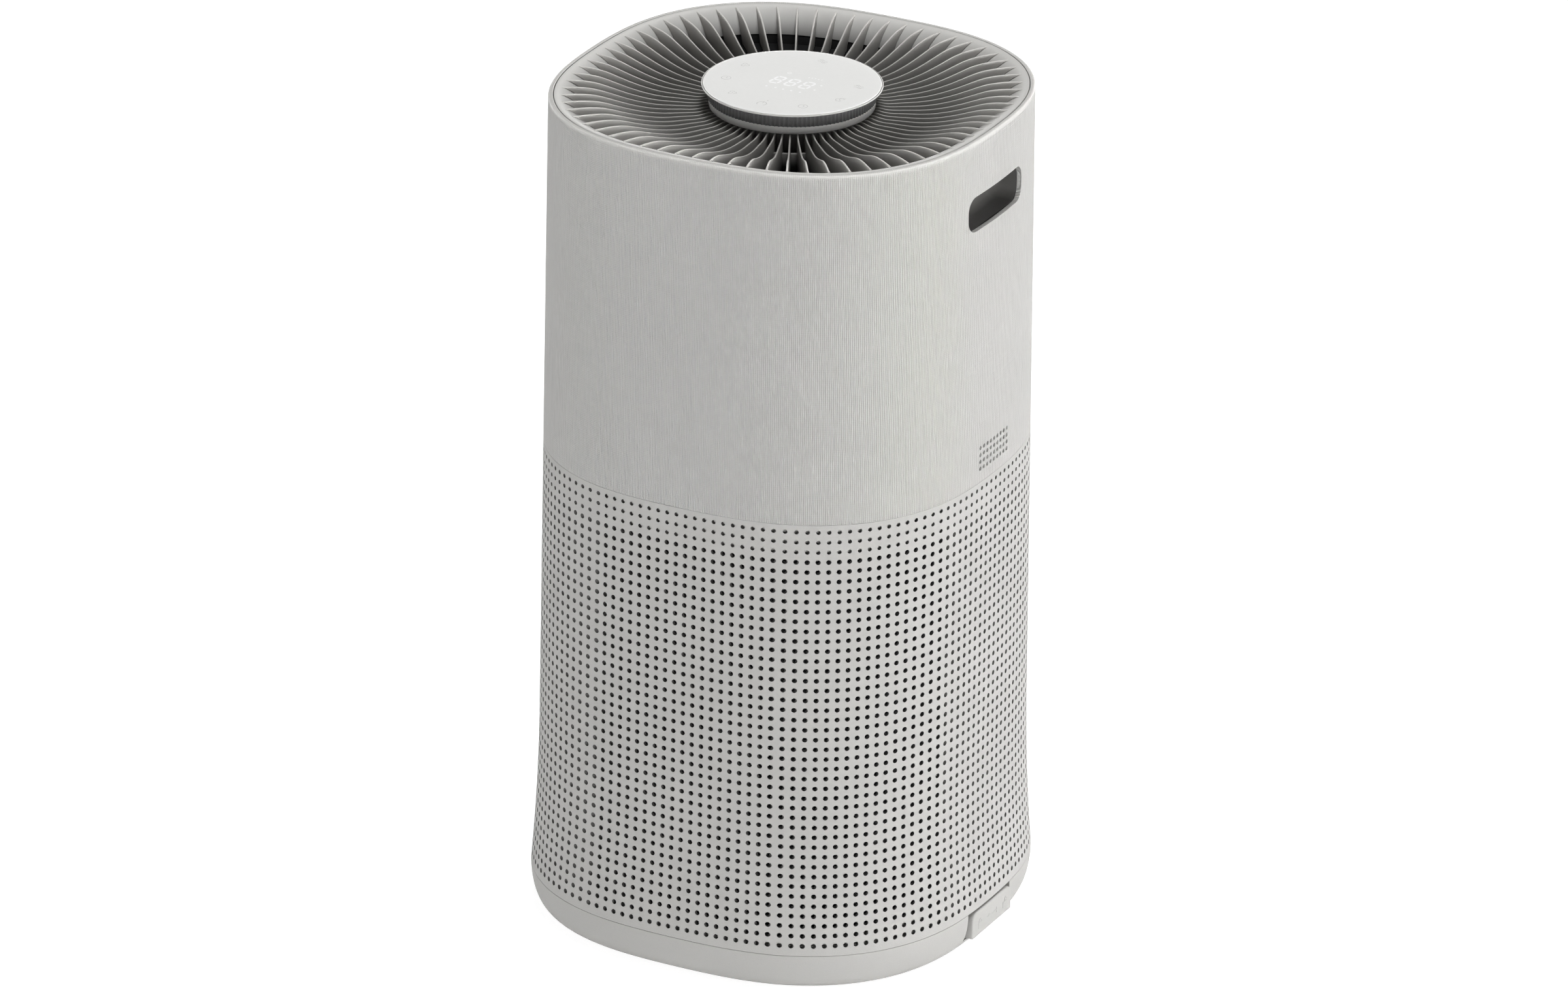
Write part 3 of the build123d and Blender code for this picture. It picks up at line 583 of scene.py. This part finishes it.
# %% Wall of the upper shell
upper = Shape()
side_levels = np.linspace(upper_low + 0.15, tower_top - 1.4, 48)
lip = [(tower_top - 1.4 + 1.4 * math.sin(t), 1.4 - 1.4 * math.cos(t)) for t in np.radians((22, 45, 67, 90))]
upper_wall = 3.0
profile = ([(upper_low, 0.12)] + [(z, 0.0) for z in side_levels] + lip
           + [(tower_top, upper_wall - 0.4), (tower_top - 0.4, upper_wall)]
           + [(z, upper_wall) for z in side_levels[::-1][1:]] + [(upper_low, upper_wall - 0.3)])
upper.stack([outline(z, inset, count=360) for z, inset in profile], closed=True)

# %% Cutters for the grips, the sensor grille and the socket
grip_level, grip_width, grip_height, grip_corner = 494.5, 73.0, 23.0, 8.5
sensor_level, sensor_pitch, sensor_hole = 330.0, 4.6, 1.38
socket_level = 345.0
cutters = Shape()


def bar(loop, low, high, axis):
    """A closed bar along x or y whose section is a loop of (across, up) points."""
    rings = []
    for reach in (low, high):
        along = np.full(len(loop), float(reach))
        pair = (along, loop[:, 0]) if axis == "x" else (loop[:, 0], along)
        rings.append(np.stack([*pair, loop[:, 1]], 1))
    cutters.stack(rings, caps=True)


grip_loop = rounded_box_loop(grip_width, grip_height, grip_corner, steps=10) + (0, grip_level)
for side in (-1, 1):
    bar(grip_loop, side * 120.0, side * 170.0, "x")
bar(rounded_box_loop(26.0, 18.0, 3.0) + (0, socket_level), 120.0, 170.0, "y")
hole_turn = np.arange(16) * 2 * np.pi / 16
hole_loop = sensor_hole * np.stack([np.cos(hole_turn), np.sin(hole_turn)], 1)
for across in range(-4, 5):
    for up in (-1.5, -0.5, 0.5, 1.5):
        bar(hole_loop + (across * sensor_pitch, sensor_level + up * sensor_pitch), 120.0, 170.0, "x")
upper_mesh = cut(upper.mesh("upper_shell_linen"), cutters.mesh("cutters"), crease=32.0)
place(upper_mesh, "housing", linen_finish, "linen_plastic", "upper_shell")

# %% [markdown]
# ## The rim and the bowl
# Inside the shell's lip sits a smooth ring whose face rolls over into a bowl. It is one closed
# section swept round the outline, and a spline through a few points keeps the roll fluid. The
# pale face darkens with depth as painted shade and stops part of the way down, and a black ring
# carries the same curve on below it: painted shade on the bowl's foot, down to the fan duct.

# %% A curve through points
def smooth_through(points, count):
    """Points on a natural cubic spline through the given points, evenly spread between them."""
    points = np.asarray(points, float)
    reach = np.concatenate([[0], np.cumsum(np.linalg.norm(np.diff(points, axis=0), axis=1))])
    gaps = np.diff(reach)
    size = len(points)
    matrix, right = np.eye(size), np.zeros((size, points.shape[1]))
    for i in range(1, size - 1):
        matrix[i, i - 1:i + 2] = gaps[i - 1], 2 * (gaps[i - 1] + gaps[i]), gaps[i]
        right[i] = 6 * ((points[i + 1] - points[i]) / gaps[i] - (points[i] - points[i - 1]) / gaps[i - 1])
    bend = np.linalg.solve(matrix, right)
    at = np.linspace(0, reach[-1], count)
    cell = np.clip(np.searchsorted(reach, at, side="right") - 1, 0, size - 2)
    a = ((reach[cell + 1] - at) / gaps[cell])[:, None]
    b = ((at - reach[cell]) / gaps[cell])[:, None]
    return (a * points[cell] + b * points[cell + 1]
            + ((a ** 3 - a) * bend[cell] + (b ** 3 - b) * bend[cell + 1]) * gaps[cell, None] ** 2 / 6)


# %% Rim
rim_low = lowest("top_rim")
pale_end = 527.9
bowl_curve = [(4.9, 541.85), (7.6, 541.1), (14.7, 537.3), (20.5, 532.2), (24.3, 526.9), (25.9, rim_low)]
bowl_face = smooth_through(bowl_curve, 26)
pale_face = bowl_face[bowl_face[:, 1] > pale_end]
rim_profile = ([(5.6, rim_low), (3.4, rim_low), (3.4, 541.2), (3.5, 541.6), (3.8, 541.85)]
               + [tuple(p) for p in pale_face]
               + [(inset - 4.2, z - 1.4) for inset, z in pale_face[::-1][:-5]])
rim = Shape()
rim.stack([outline(z, inset, level=tower_top, count=360) for inset, z in rim_profile], closed=True)
place(rim.mesh("rim_and_bowl"), "housing", rim_painted_shade_finish, "rim_plastic", "top_rim")
# Painted shade: the bowl's lowest part is a black ring instead of pale plastic.
shaded_foot_face = bowl_face[len(pale_face) - 1:] - (0.4, 0.3)
mouth = Shape()
mouth.stack([outline(z, inset, level=tower_top, count=360) for inset, z in
             [*shaded_foot_face, *(shaded_foot_face[::-1] - (2.0, 0.0))]], closed=True)
place(mouth.mesh("bowl_foot_painted_shade"), "housing", black_finish, "black_plastic")

# %% [markdown]
# ## The outlet fins
# Seventy upright blades run from the hub to the rim. Their top edge is flat at the hub, dips,
# and climbs in an S to the rim, and it is rounded, so it catches the light as a bright line.
# Each blade is a row of sections set along that edge. The bowl isn't round, so every blade has
# its own length, and an array modifier would not fit them.

# %% One blade's sections
fin_count, fin_half, crest_half, fin_round = 70, 0.75, 0.52, 0.36
fin_low = lowest("outlet_fins")
land_level, land_end, fin_root = 530.6, 53.5, 49.0
crest_points = [(57.0, 529.7), (68.0, 529.5), (80.0, 530.0), (92.0, 531.7), (104.0, 534.8),
                (112.0, 537.4), (120.0, 539.8), (128.0, 541.0)]
duct_side = 110.7
bend_steps = np.radians((0, 30, 60, 90))
section_across = np.concatenate([[-fin_half], -crest_half + fin_round * (1 - np.cos(bend_steps)),
                                 (crest_half - fin_round * (1 - np.cos(bend_steps)))[::-1], [fin_half]])
section_drop = np.concatenate([[0], fin_round * (1 - np.sin(bend_steps)),
                               (fin_round * (1 - np.sin(bend_steps)))[::-1], [0]])
fins = Shape()


def blade(angle):
    """Adds the blade that stands at an angle from +X, in radians."""
    rim_edge = skin_radius(angle, tower_top)
    tip = (rim_edge - 7.7, 541.35)
    crest = smooth_through([(land_end, land_level), *crest_points, tip], 44)
    crest = np.vstack([[(fin_root, land_level), (land_end - 0.4, land_level)], crest])
    reach, top = crest[:, 0], crest[:, 1]
    bowl_z = np.interp(rim_edge - reach - 0.4, [p[0] for p in bowl_face], [p[1] for p in bowl_face])
    low = np.where(reach < duct_side, fin_low, np.minimum(bowl_z + 0.3, top - fin_round - 0.05))
    height = np.repeat(top[:, None], 10, 1) - section_drop
    height[:, 0] = height[:, -1] = low
    out, side = np.array([np.cos(angle), np.sin(angle)]), np.array([-np.sin(angle), np.cos(angle)])
    flat = reach[:, None, None] * out + section_across[None, :, None] * side
    rows_of = fins.add(np.concatenate([flat, height[:, :, None]], 2))
    for near, far in zip(rows_of, rows_of[1:]):
        fins.strip(near, far)
    fins.faces += [rows_of[0].tolist(), rows_of[-1].tolist()]


# %% All blades, their sleeve and the ring that stiffens them
for index in range(fin_count):
    blade(-np.pi / 2 + 2 * np.pi * index / fin_count)
for inner_r, outer_r, top in ((46.5, 49.5, land_level - 0.05), (56.0, 58.0, 520.5)):
    ring_profile = [(inner_r, fin_low), (outer_r, fin_low), (outer_r, top - 0.3), (outer_r - 0.3, top),
                    (inner_r + 0.3, top), (inner_r, top - 0.3)]
    fins.stack([circle(r, z) for r, z in ring_profile], closed=True)
place(fins.mesh("outlet_fins_rounded", crease=50.0), "housing", fin_painted_shade_finish, "fin_plastic", "outlet_fins")

# %% [markdown]
# ## The hub and the display
# The display stands on the fins like a coin on a drum: a collar, a smoked band with fine ribs,
# a thin bezel and a white disc. These are turned shapes, so each is a short profile of radius
# and height swept round the axis.

# %% Collar, band and bezel
def turn(shape, profile, count=288, caps=False):
    """Sweeps (radius, height) points round the axis."""
    return shape.stack([circle(r, z, count) for r, z in profile], closed=not caps, caps=caps)


disc_low = lowest("display_disc")
collar_low, collar_high = lowest("hub_collar"), highest("hub_collar")
band_low, band_high = lowest("light_band"), highest("light_band")
bezel_low, bezel_high = lowest("display_bezel"), highest("display_bezel")
collar_low -= 0.9
collar = Shape()
turn(collar, [(44.6, collar_low), (51.0, collar_low), (51.4, collar_low + 0.4), (51.4, collar_high - 0.4),
              (51.0, collar_high), (44.6, collar_high)])
place(collar.mesh("hub_collar_turned"), "housing", collar_painted_light_finish, "rim_plastic", "hub_collar")

ribs = Shape()
rib_turn = np.arange(960) * 2 * np.pi / 960
rib_radius = 51.5 + 0.5 * np.clip(np.cos(rib_turn * 120), -0.2, 1)
rib_ring = [around(rib_turn, rib_radius, z) for z in (band_low + 0.02, band_high)]
ribs.stack([circle(46.4, band_low + 0.02, 960), *rib_ring, circle(46.4, band_high, 960)], closed=True)
place(ribs.mesh("light_band_ribbed"), "housing", band_finish, "band_plastic", "light_band")

bezel = Shape()
turn(bezel, [(48.2, bezel_low), (55.4, bezel_low), (55.9, bezel_low + 0.25), (56.1, bezel_low + 0.7),
             (56.1, bezel_high - 0.35), (55.9, bezel_high - 0.05), (55.6, bezel_high),
             (55.3, bezel_high - 0.2), (55.25, disc_low - 0.05), (48.2, disc_low - 0.05)])
place(bezel.mesh("display_bezel_turned"), "housing", bezel_finish, "bezel_plastic", "display_bezel")

# %% White display disc
glass_top = hub_top - 0.06
disc = Shape()
turn(disc, [(2.0, disc_low), (54.8, disc_low), (55.0, disc_low + 0.2), (55.0, glass_top - 0.35),
            (54.88, glass_top - 0.12), (54.6, glass_top - 0.02), (54.0, glass_top), (30.0, glass_top),
            (2.0, glass_top)], caps=True)
place(disc.mesh("display_disc_domed"), "housing", disc_finish, "display_gloss", "display_disc")

# %% [markdown]
# The disc carries printed marks: three seven-segment digits and a row of lamps in white, and
# key symbols in pale grey. They could be a mask in the disc's colour, but marks this small stay
# sharper as thin film pieces, a few hundredths of a millimetre thick, laid on the disc.

# %% Printed marks
white_marks, grey_marks = Shape(), Shape()


def film(shape, loop, lift=0.04):
    """A flat mark on the disc whose edge is a loop of (x, y) points."""
    loop = np.asarray(loop, float)
    rings = [np.column_stack([loop, np.full(len(loop), z)]) for z in (glass_top - 0.02, glass_top + lift)]
    shape.stack(rings, caps=True)


def stroke(shape, ax, ay, bx, by, width):
    """A straight mark with pointed ends, like a display segment."""
    a, b = np.array([ax, ay]), np.array([bx, by])
    along = (b - a) / np.linalg.norm(b - a)
    across = np.array([-along[1], along[0]]) * width / 2
    film(shape, [a, a + along * width / 2 - across, b - along * width / 2 - across, b,
                 b - along * width / 2 + across, a + along * width / 2 + across])


def arc(shape, cx, cy, radius, start, end, width, steps=20):
    """Part of a ring, from start to end in degrees."""
    angles = np.radians(np.linspace(start, end, steps + 1))
    for a, b in zip(angles, angles[1:]):
        near, far = radius - width / 2, radius + width / 2
        film(shape, [(cx + r * math.cos(t), cy + r * math.sin(t))
                     for r, t in ((near, a), (far, a), (far, b), (near, b))])


def dot(shape, cx, cy, radius):
    t = np.arange(16) * 2 * np.pi / 16
    film(shape, np.stack([cx + radius * np.cos(t), cy + radius * np.sin(t)], 1))


# %% Digits and lamps
digit_w, digit_h, slant = 5.8, 11.2, 0.12
for centre in (-9.8, 0.2, 10.2):
    for x0, y0, x1, y1 in ((-1, 1, 1, 1), (-1, 0, 1, 0), (-1, -1, 1, -1),
                           (-1, 0, -1, 1), (1, 0, 1, 1), (-1, -1, -1, 0), (1, -1, 1, 0)):
        ends = []
        for sx, sy in ((x0, y0), (x1, y1)):
            ends += [centre + sx * digit_w / 2 + slant * sy * digit_h / 2, sy * digit_h / 2 - 0.4]
        trim_x, trim_y = (0.35, 0) if y0 == y1 else (0, 0.35)
        stroke(white_marks, ends[0] + trim_x, ends[1] + trim_y, ends[2] - trim_x, ends[3] - trim_y, 1.4)
lamps = ((-11.2, -13.0), (-5.0, -13.0), (0.3, -13.1), (5.8, -13.0), (11.8, -12.9), (17.9, -5.2), (18.2, 3.4))
for cx, cy in lamps:
    dot(white_marks, cx, cy, 0.75)
for cx in (5.2, 7.4, 9.6, 11.8, 14.0):
    stroke(white_marks, cx, 11.4, cx + 0.3, 13.0, 0.6)
arc(white_marks, -8.8, 13.4, 1.2, 0, 360, 0.5)

# %% Key symbols round the edge
key_circle = 41.2


def key_place(bearing):
    return key_circle * math.cos(math.radians(bearing)), key_circle * math.sin(math.radians(bearing))


x, y = key_place(270)                                   # power
arc(grey_marks, x, y, 3.0, -50, 230, 0.5)
stroke(grey_marks, x, y + 0.8, x, y + 3.8, 0.5)
dot(grey_marks, x + 1.0, y + 6.2, 0.5)
for bearing in (306, 198):                              # timer
    x, y = key_place(bearing)
    arc(grey_marks, x, y, 2.9, 0, 360, 0.45)
    stroke(grey_marks, x, y, x, y + 2.0, 0.45)
    stroke(grey_marks, x, y, x + 1.5, y, 0.45)
for bearing in (18, 90):                                # air flow
    x, y = key_place(bearing)
    for lift, reach in ((-1.6, 2.6), (0.0, 3.6), (1.6, 2.6)):
        arc(grey_marks, x - reach / 2, y + lift - 0.5, reach / 2, 20, 160, 0.4, 8)
        arc(grey_marks, x + reach / 2, y + lift + 0.5, reach / 2, 200, 340, 0.4, 8)
for bearing in (162, 234):                              # fan speed
    x, y = key_place(bearing)
    for blade_turn in (0, 120, 240):
        bx, by = x + 1.5 * math.cos(math.radians(blade_turn)), y + 1.5 * math.sin(math.radians(blade_turn))
        arc(grey_marks, bx, by, 1.3, blade_turn - 110, blade_turn + 110, 0.4, 10)
    dot(grey_marks, x, y, 0.4)
x, y = key_place(342)                                   # night
arc(grey_marks, x, y, 2.7, 30, 300, 0.45)
arc(grey_marks, x + 1.6, y + 1.0, 2.2, 60, 265, 0.45)
place(white_marks.mesh("display_digits"), "housing", lamp_finish, "display_gloss")
place(grey_marks.mesh("display_key_marks"), "housing", mark_finish, "display_gloss")

# %% [markdown]
# ## The hand grips
# Behind each grip opening sits a charcoal pocket. Fingers reach in, so its back is rolled like
# the inside of a cupped hand. Rings of the opening's own outline go straight in, then shrink.

# %% Grip pockets
def grip_pocket(side):
    """A closed liner behind the opening on the +X side (1) or the -X side (-1)."""
    pocket = Shape()
    back, roll, thick = 118.0, 9.0, 1.8

    def ring(shrink, depth, grow=0.0):
        """Outline at a depth in from the shell's inner face. A depth of None is the mouth itself."""
        loop = rounded_box_loop(grip_width - 2 * shrink + 2 * grow, grip_height - 2 * shrink + 2 * grow,
                                max(grip_corner - shrink + grow, 0.6), steps=10)
        if depth is None:
            angle = np.arctan2(loop[:, 0], 138.0)
            for _ in range(6):
                inner_x = (skin_radius(angle, grip_level + loop[:, 1]) - upper_wall - 0.35) * np.cos(angle)
                angle = np.arctan2(loop[:, 0], inner_x)
            across = inner_x
        else:
            across = np.full(len(loop), depth)
        return np.stack([side * across, loop[:, 0], loop[:, 1] + grip_level], 1)

    turns = np.radians(np.linspace(0, 90, 9))
    rolled = [(roll * (1 - math.cos(t)), back + roll - roll * math.sin(t)) for t in turns]
    inside = [ring(s, d) for s, d in rolled[::-1]] + [ring(0.0, None)]
    outside = [ring(0.0, None, thick)] + [ring(s, d - thick, thick) for s, d in rolled]
    pocket.stack(inside + outside, caps=True)
    return pocket


for side, label in ((1, "right"), (-1, "left")):
    place(grip_pocket(side).mesh(f"grip_pocket_{label}_rolled", crease=50.0), "housing", pocket_finish,
          "pocket_plastic", f"grip_pocket_{label}")

# %% [markdown]
# ## The base tray
# The tray curls in under the tower and carries a locating lip, the filter's seat and a guard
# ring. Its wall is one closed section again, from the middle of the underside, up the curl,
# over the lip and back down to the middle of the floor. Two cutters open the lever's pocket and
# the sockets of the feet.

# %% Tray
def curl(z):
    """How far the skin has curled in at height z."""
    depth = np.clip((tray_top - z) / (tray_top - tray_bottom + 0.4), 0, 1)
    return 9.2 * (1 - np.sqrt(1 - depth ** 2))


tray_floor, tray_wall = 5.5, 3.0
tray = Shape()
rings = [circle(6.0, tray_bottom), circle(60.0, tray_bottom), circle(110.0, tray_bottom)]
rings += [outline(tray_bottom, curl(tray_bottom) + 0.6, level=tray_top)]
for z in tray_bottom + (tray_top - 0.15 - tray_bottom) * np.linspace(0.012, 1, 22) ** 1.5:
    rings.append(outline(z, float(curl(z)), level=tray_top))
for inset, z in ((0.15, tray_top), (3.5, tray_top), (3.5, lip_top - 0.4), (3.8, lip_top), (5.2, lip_top),
                 (5.5, lip_top - 0.4), (5.5, 13.0)):
    rings.append(outline(z, inset, level=tray_top))
for z in (12.8, 9.0, 7.0, tray_floor):
    rings.append(outline(z, tray_wall + float(curl(z)), level=tray_top))
for radius, z in ((107.5, tray_floor), (107.5, 13.2), (107.2, 13.5), (105.3, 13.5), (105.0, 13.2),
                  (105.0, tray_floor), (100.0, tray_floor), (100.0, 8.0), (90.0, 8.0), (90.0, tray_floor),
                  (6.0, tray_floor)):
    rings.append(circle(radius, z))
tray.stack(rings, caps=True)

# %% Pocket for the lever, and sockets for the feet
lever_low, lever_high = lowest("lock_lever"), highest("lock_lever")
lever_start, lever_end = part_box("lock_lever")[0].y / MM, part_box("lock_lever")[1].y / MM
lever_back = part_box("lock_lever")[0].x / MM
lever_travel, play = 2.6, 0.5
cutters = Shape()
pocket_low, pocket_high = lever_start - lever_travel - play, lever_end + play
pocket_loop = np.array([(pocket_low, lever_low - play), (pocket_high, lever_low - play),
                        (pocket_high, lip_top + 2), (pocket_low, lip_top + 2)])
bar(pocket_loop, lever_back - play, 170.0, "x")
for quarter in range(4):
    foot_turn = math.pi / 4 + quarter * math.pi / 2
    foot = np.array([math.cos(foot_turn), math.sin(foot_turn), 0])
    cutters.stack([circle(10.3, z, 48) + foot * 118.0 for z in (0.0, 4.5)], caps=True)
tray_mesh = cut(tray.mesh("base_tray_curled"), cutters.mesh("cutters"), crease=32.0)
place(tray_mesh, "base", shell_finish, "shell_plastic", "base_tray")

# %% [markdown]
# ## The lock lever
# A small slider that locks the tower to its tray. Its face follows the tower's outline and all
# its outer edges are softened, so it is a stack of its own outline: out from the back, over the
# rounded edge, then shrinking to the middle of the face. Three symbols stand on the face.

# %% Lever
lever_mid_y, lever_mid_z = (lever_start + lever_end) / 2, (lever_low + lever_high) / 2
lever_w, lever_h, lever_proud = lever_end - lever_start, lever_high - lever_low, 1.35


def face_x(y):
    """How far out the lever's face stands at a place along it."""
    angle = np.arctan2(y, 150.0)
    for _ in range(6):
        x = (skin_radius(angle, tray_top) + lever_proud) * np.cos(angle)
        angle = np.arctan2(y, x)
    return x


def lever_loop(shrink, steps=9):
    """The lever's outline, (y, z): two round corners at the top and two tight ones below."""
    loop = []
    for corner, (sx, sy) in enumerate(((1, 1), (-1, 1), (-1, -1), (1, -1))):
        radius = max((6.5 if sy > 0 else 1.2) - shrink, 0.4)
        for turn_by in np.radians(np.linspace(0, 90, steps) + 90 * corner):
            loop.append((lever_mid_y + sx * (lever_w / 2 - shrink - radius) + radius * math.cos(turn_by),
                         lever_mid_z + sy * (lever_h / 2 - shrink - radius) + radius * math.sin(turn_by)))
    return np.array(loop)


lever = Shape()
edge = 0.9
loops = [(lever_loop(0.0), None), (lever_loop(0.0), edge)]
for t in np.radians((30, 60, 90)):
    loops.append((lever_loop(edge * (1 - math.cos(t))), edge * (1 - math.sin(t))))
for share in (0.75, 0.5, 0.25, 0.08):
    middle = np.array([lever_mid_y, lever_mid_z])
    loops.append((middle + (lever_loop(edge) - middle) * share, 0.0))
rings = []
for loop, behind in loops:
    across = np.full(len(loop), lever_back) if behind is None else face_x(loop[:, 0]) - behind
    rings.append(np.column_stack([across, loop]))
lever.stack(rings, caps=True)
place(lever.mesh("lock_lever_softened"), "lever", shell_finish, "shell_plastic", "lock_lever")

# %% Symbols on the lever: a closed lock, a double arrow, an open lock
symbols = Shape()


def raised(loop):
    """A flat symbol part on the lever's face. The loop is (along, up) from the lever's middle."""
    loop = np.asarray(loop, float) + (lever_mid_y, lever_mid_z)
    rings = [np.column_stack([face_x(loop[:, 0]) + lift, loop]) for lift in (-0.3, 0.2)]
    symbols.stack(rings, caps=True)


def raised_arc(cy, cz, radius, start, end, width, steps=10):
    angles = np.radians(np.linspace(start, end, steps + 1))
    for a, b in zip(angles, angles[1:]):
        raised([(cy + r * math.cos(t), cz + r * math.sin(t))
                for r, t in ((radius - width / 2, a), (radius + width / 2, a),
                             (radius + width / 2, b), (radius - width / 2, b))])


def box_at(cy, cz, w, h):
    raised([(cy + sy * w / 2, cz + sz * h / 2) for sy, sz in ((-1, -1), (1, -1), (1, 1), (-1, 1))])


for place_y, lifted in ((-17.0, 0.0), (17.0, 1.0)):
    box_at(place_y, -1.6, 5.2, 4.0)
    raised_arc(place_y + lifted * 1.4, 0.6 + lifted * 0.5, 1.7, -5 if not lifted else 20, 185, 0.7)
box_at(0.0, -0.4, 11.0, 0.8)
for sign in (-1, 1):
    raised([(sign * 5.0, -2.2), (sign * 7.6, -0.4), (sign * 5.0, 1.4)])
place(symbols.mesh("lock_symbols"), "lever", shell_finish, "shell_plastic")

# %% [markdown]
# ## Parts that keep their CAD shape
# The fan, the motor, the filter and the boards are machined or moulded shapes that the CAD
# model already has right. They stay as they are and only take a finish, chosen by what the
# part is made of.

# %% Finishes for the carried-over nodes
finish_of = {
    rubber_finish: ("rubber_feet", "motor_dampers"),
    steel_finish: ("lock_spring", "socket_pins", "deck_screws", "motor_shaft", "wheel_nut", "motor_case",
                   "motor_bearings", "motor_screws"),
    cap_finish: ("filter_lower_cap", "filter_upper_cap", "filter_core"),
    net_finish: ("prefilter_sleeve",),
    paper_finish: ("filter_pleats",),
    carbon_finish: ("carbon_layer",),
    foam_finish: ("filter_gasket",),
    shell_finish: ("mid_frame",),
    black_finish: ("air_sensor", "power_socket", "fan_deck", "fan_duct", "diffuser", "motor_cover"),
    wheel_finish: ("fan_wheel",),
    winding_finish: ("motor_stator",),
    magnet_finish: ("motor_rotor",),
    board_finish: ("power_board", "touch_board"),
    part_finish: ("board_components", "display_leds"),
}
finished = 0
for finish, names in finish_of.items():
    for name in names:
        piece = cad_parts[name]
        piece.data.materials.clear()
        piece.data.materials.append(finish)
        finished += 1
print(finished, "CAD nodes finished,", sum(o.hide_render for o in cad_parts.values()), "stood for")

# %% [markdown]
# ## Studio
# A pale floor that runs far back, a surround that is bright only near the horizon, and one soft
# light almost straight overhead. The surround is strongest on the right, which makes the change
# of tone round the tower. The floor gives off more light to the camera than to the tower, so it
# reads as white without lighting the tower too much from below.

# %% Floor
floor = Shape()
floor.stack([circle(r, 0.0, 96) for r in (100.0, 600.0, 3000.0, 60000.0)] + [circle(60000.0, -50.0, 96),
            circle(100.0, -50.0, 96)], caps=False, closed=True)
floor_mesh = floor.mesh("studio_floor")
floor_piece = bpy.data.objects.new("studio_floor", floor_mesh)
scene.collection.objects.link(floor_piece)
floor_finish, tree, shader, at = new_material("studio_white", 0.9, Emission_Color=(1, 1, 1, 1))
seen = node(tree, "ShaderNodeLightPath", out="Is Camera Ray")
tree.links.new(remap(tree, seen, 0.0, 1.0, 0.36, 0.90), shader.inputs["Emission Strength"])
drift = use_group(tree, grain, {"Position": at, "Size": 0.004})["Drift"]
tint(tree, shader, drift, linear(150), linear(153))
floor_mesh.materials.append(floor_finish)

# %% Light
bright_bearing = math.radians(105.0)
world = bpy.data.worlds.new("studio_surround")
scene.world = world
world.use_nodes = True
surround = world.node_tree.nodes["Background"]
surround.inputs["Color"].default_value = (1.0, 1.0, 1.0, 1.0)
tree = world.node_tree
direction = node(tree, "ShaderNodeTexCoord", out="Generated")
node(tree, "ShaderNodeSeparateXYZ", {"Vector": direction})
height = tree.nodes[-1].outputs["Z"]
glow = remap(tree, height, 0.02, 0.14, 1.0, 0.004)
bright_way = (math.sin(bright_bearing), -math.cos(bright_bearing), 0.0)
toward_bright = node(tree, "ShaderNodeVectorMath", {0: direction, 1: bright_way},
                     operation="DOT_PRODUCT", out="Value")
side_strength = remap(tree, toward_bright, 0.0, 1.0, 10.5, 26.0)
glow = sums(tree, "MULTIPLY", glow, side_strength)
tree.links.new(glow, surround.inputs["Strength"])


def softbox(name, bearing, height, distance, width, tall, power):
    """An area light that looks at the tower. bearing is in degrees from the front, towards +X."""
    lamp = bpy.data.lights.new(name, "AREA")
    lamp.shape, lamp.size, lamp.size_y, lamp.energy = "RECTANGLE", width, tall, power
    item = bpy.data.objects.new(name, lamp)
    turn_by = math.radians(bearing)
    item.location = (distance * math.sin(turn_by), -distance * math.cos(turn_by), height)
    item.rotation_euler = (Vector((0, 0, 0.35)) - item.location).to_track_quat("-Z", "Y").to_euler()
    scene.collection.objects.link(item)


softbox("top_light", 90.0, 4.0, 0.3, 1.2, 1.2, 110.0)
scene.view_settings.view_transform = "Standard"

# %% Camera
azimuth, elevation, roll = math.radians(26.78), math.radians(23.26), math.radians(0.805)
distance, side_step = 6.413, -0.00159
target = Vector((side_step * math.cos(azimuth), side_step * math.sin(azimuth), 0.26999))
towards = Vector((math.sin(azimuth) * math.cos(elevation), -math.cos(azimuth) * math.cos(elevation),
                  math.sin(elevation)))
camera = bpy.data.objects.new("camera", bpy.data.cameras.new("camera"))
camera.data.lens, camera.data.sensor_width = 235.7, 36.0
camera.data.clip_end = 200.0
camera.location = target + towards * distance
camera.rotation_mode = "QUATERNION"
rolled = Matrix.Rotation(roll, 3, "Z").to_quaternion()
camera.rotation_quaternion = (-towards).to_track_quat("-Z", "Y") @ rolled
scene.collection.objects.link(camera)
scene.camera = camera
print("camera", [round(v, 3) for v in camera.location])
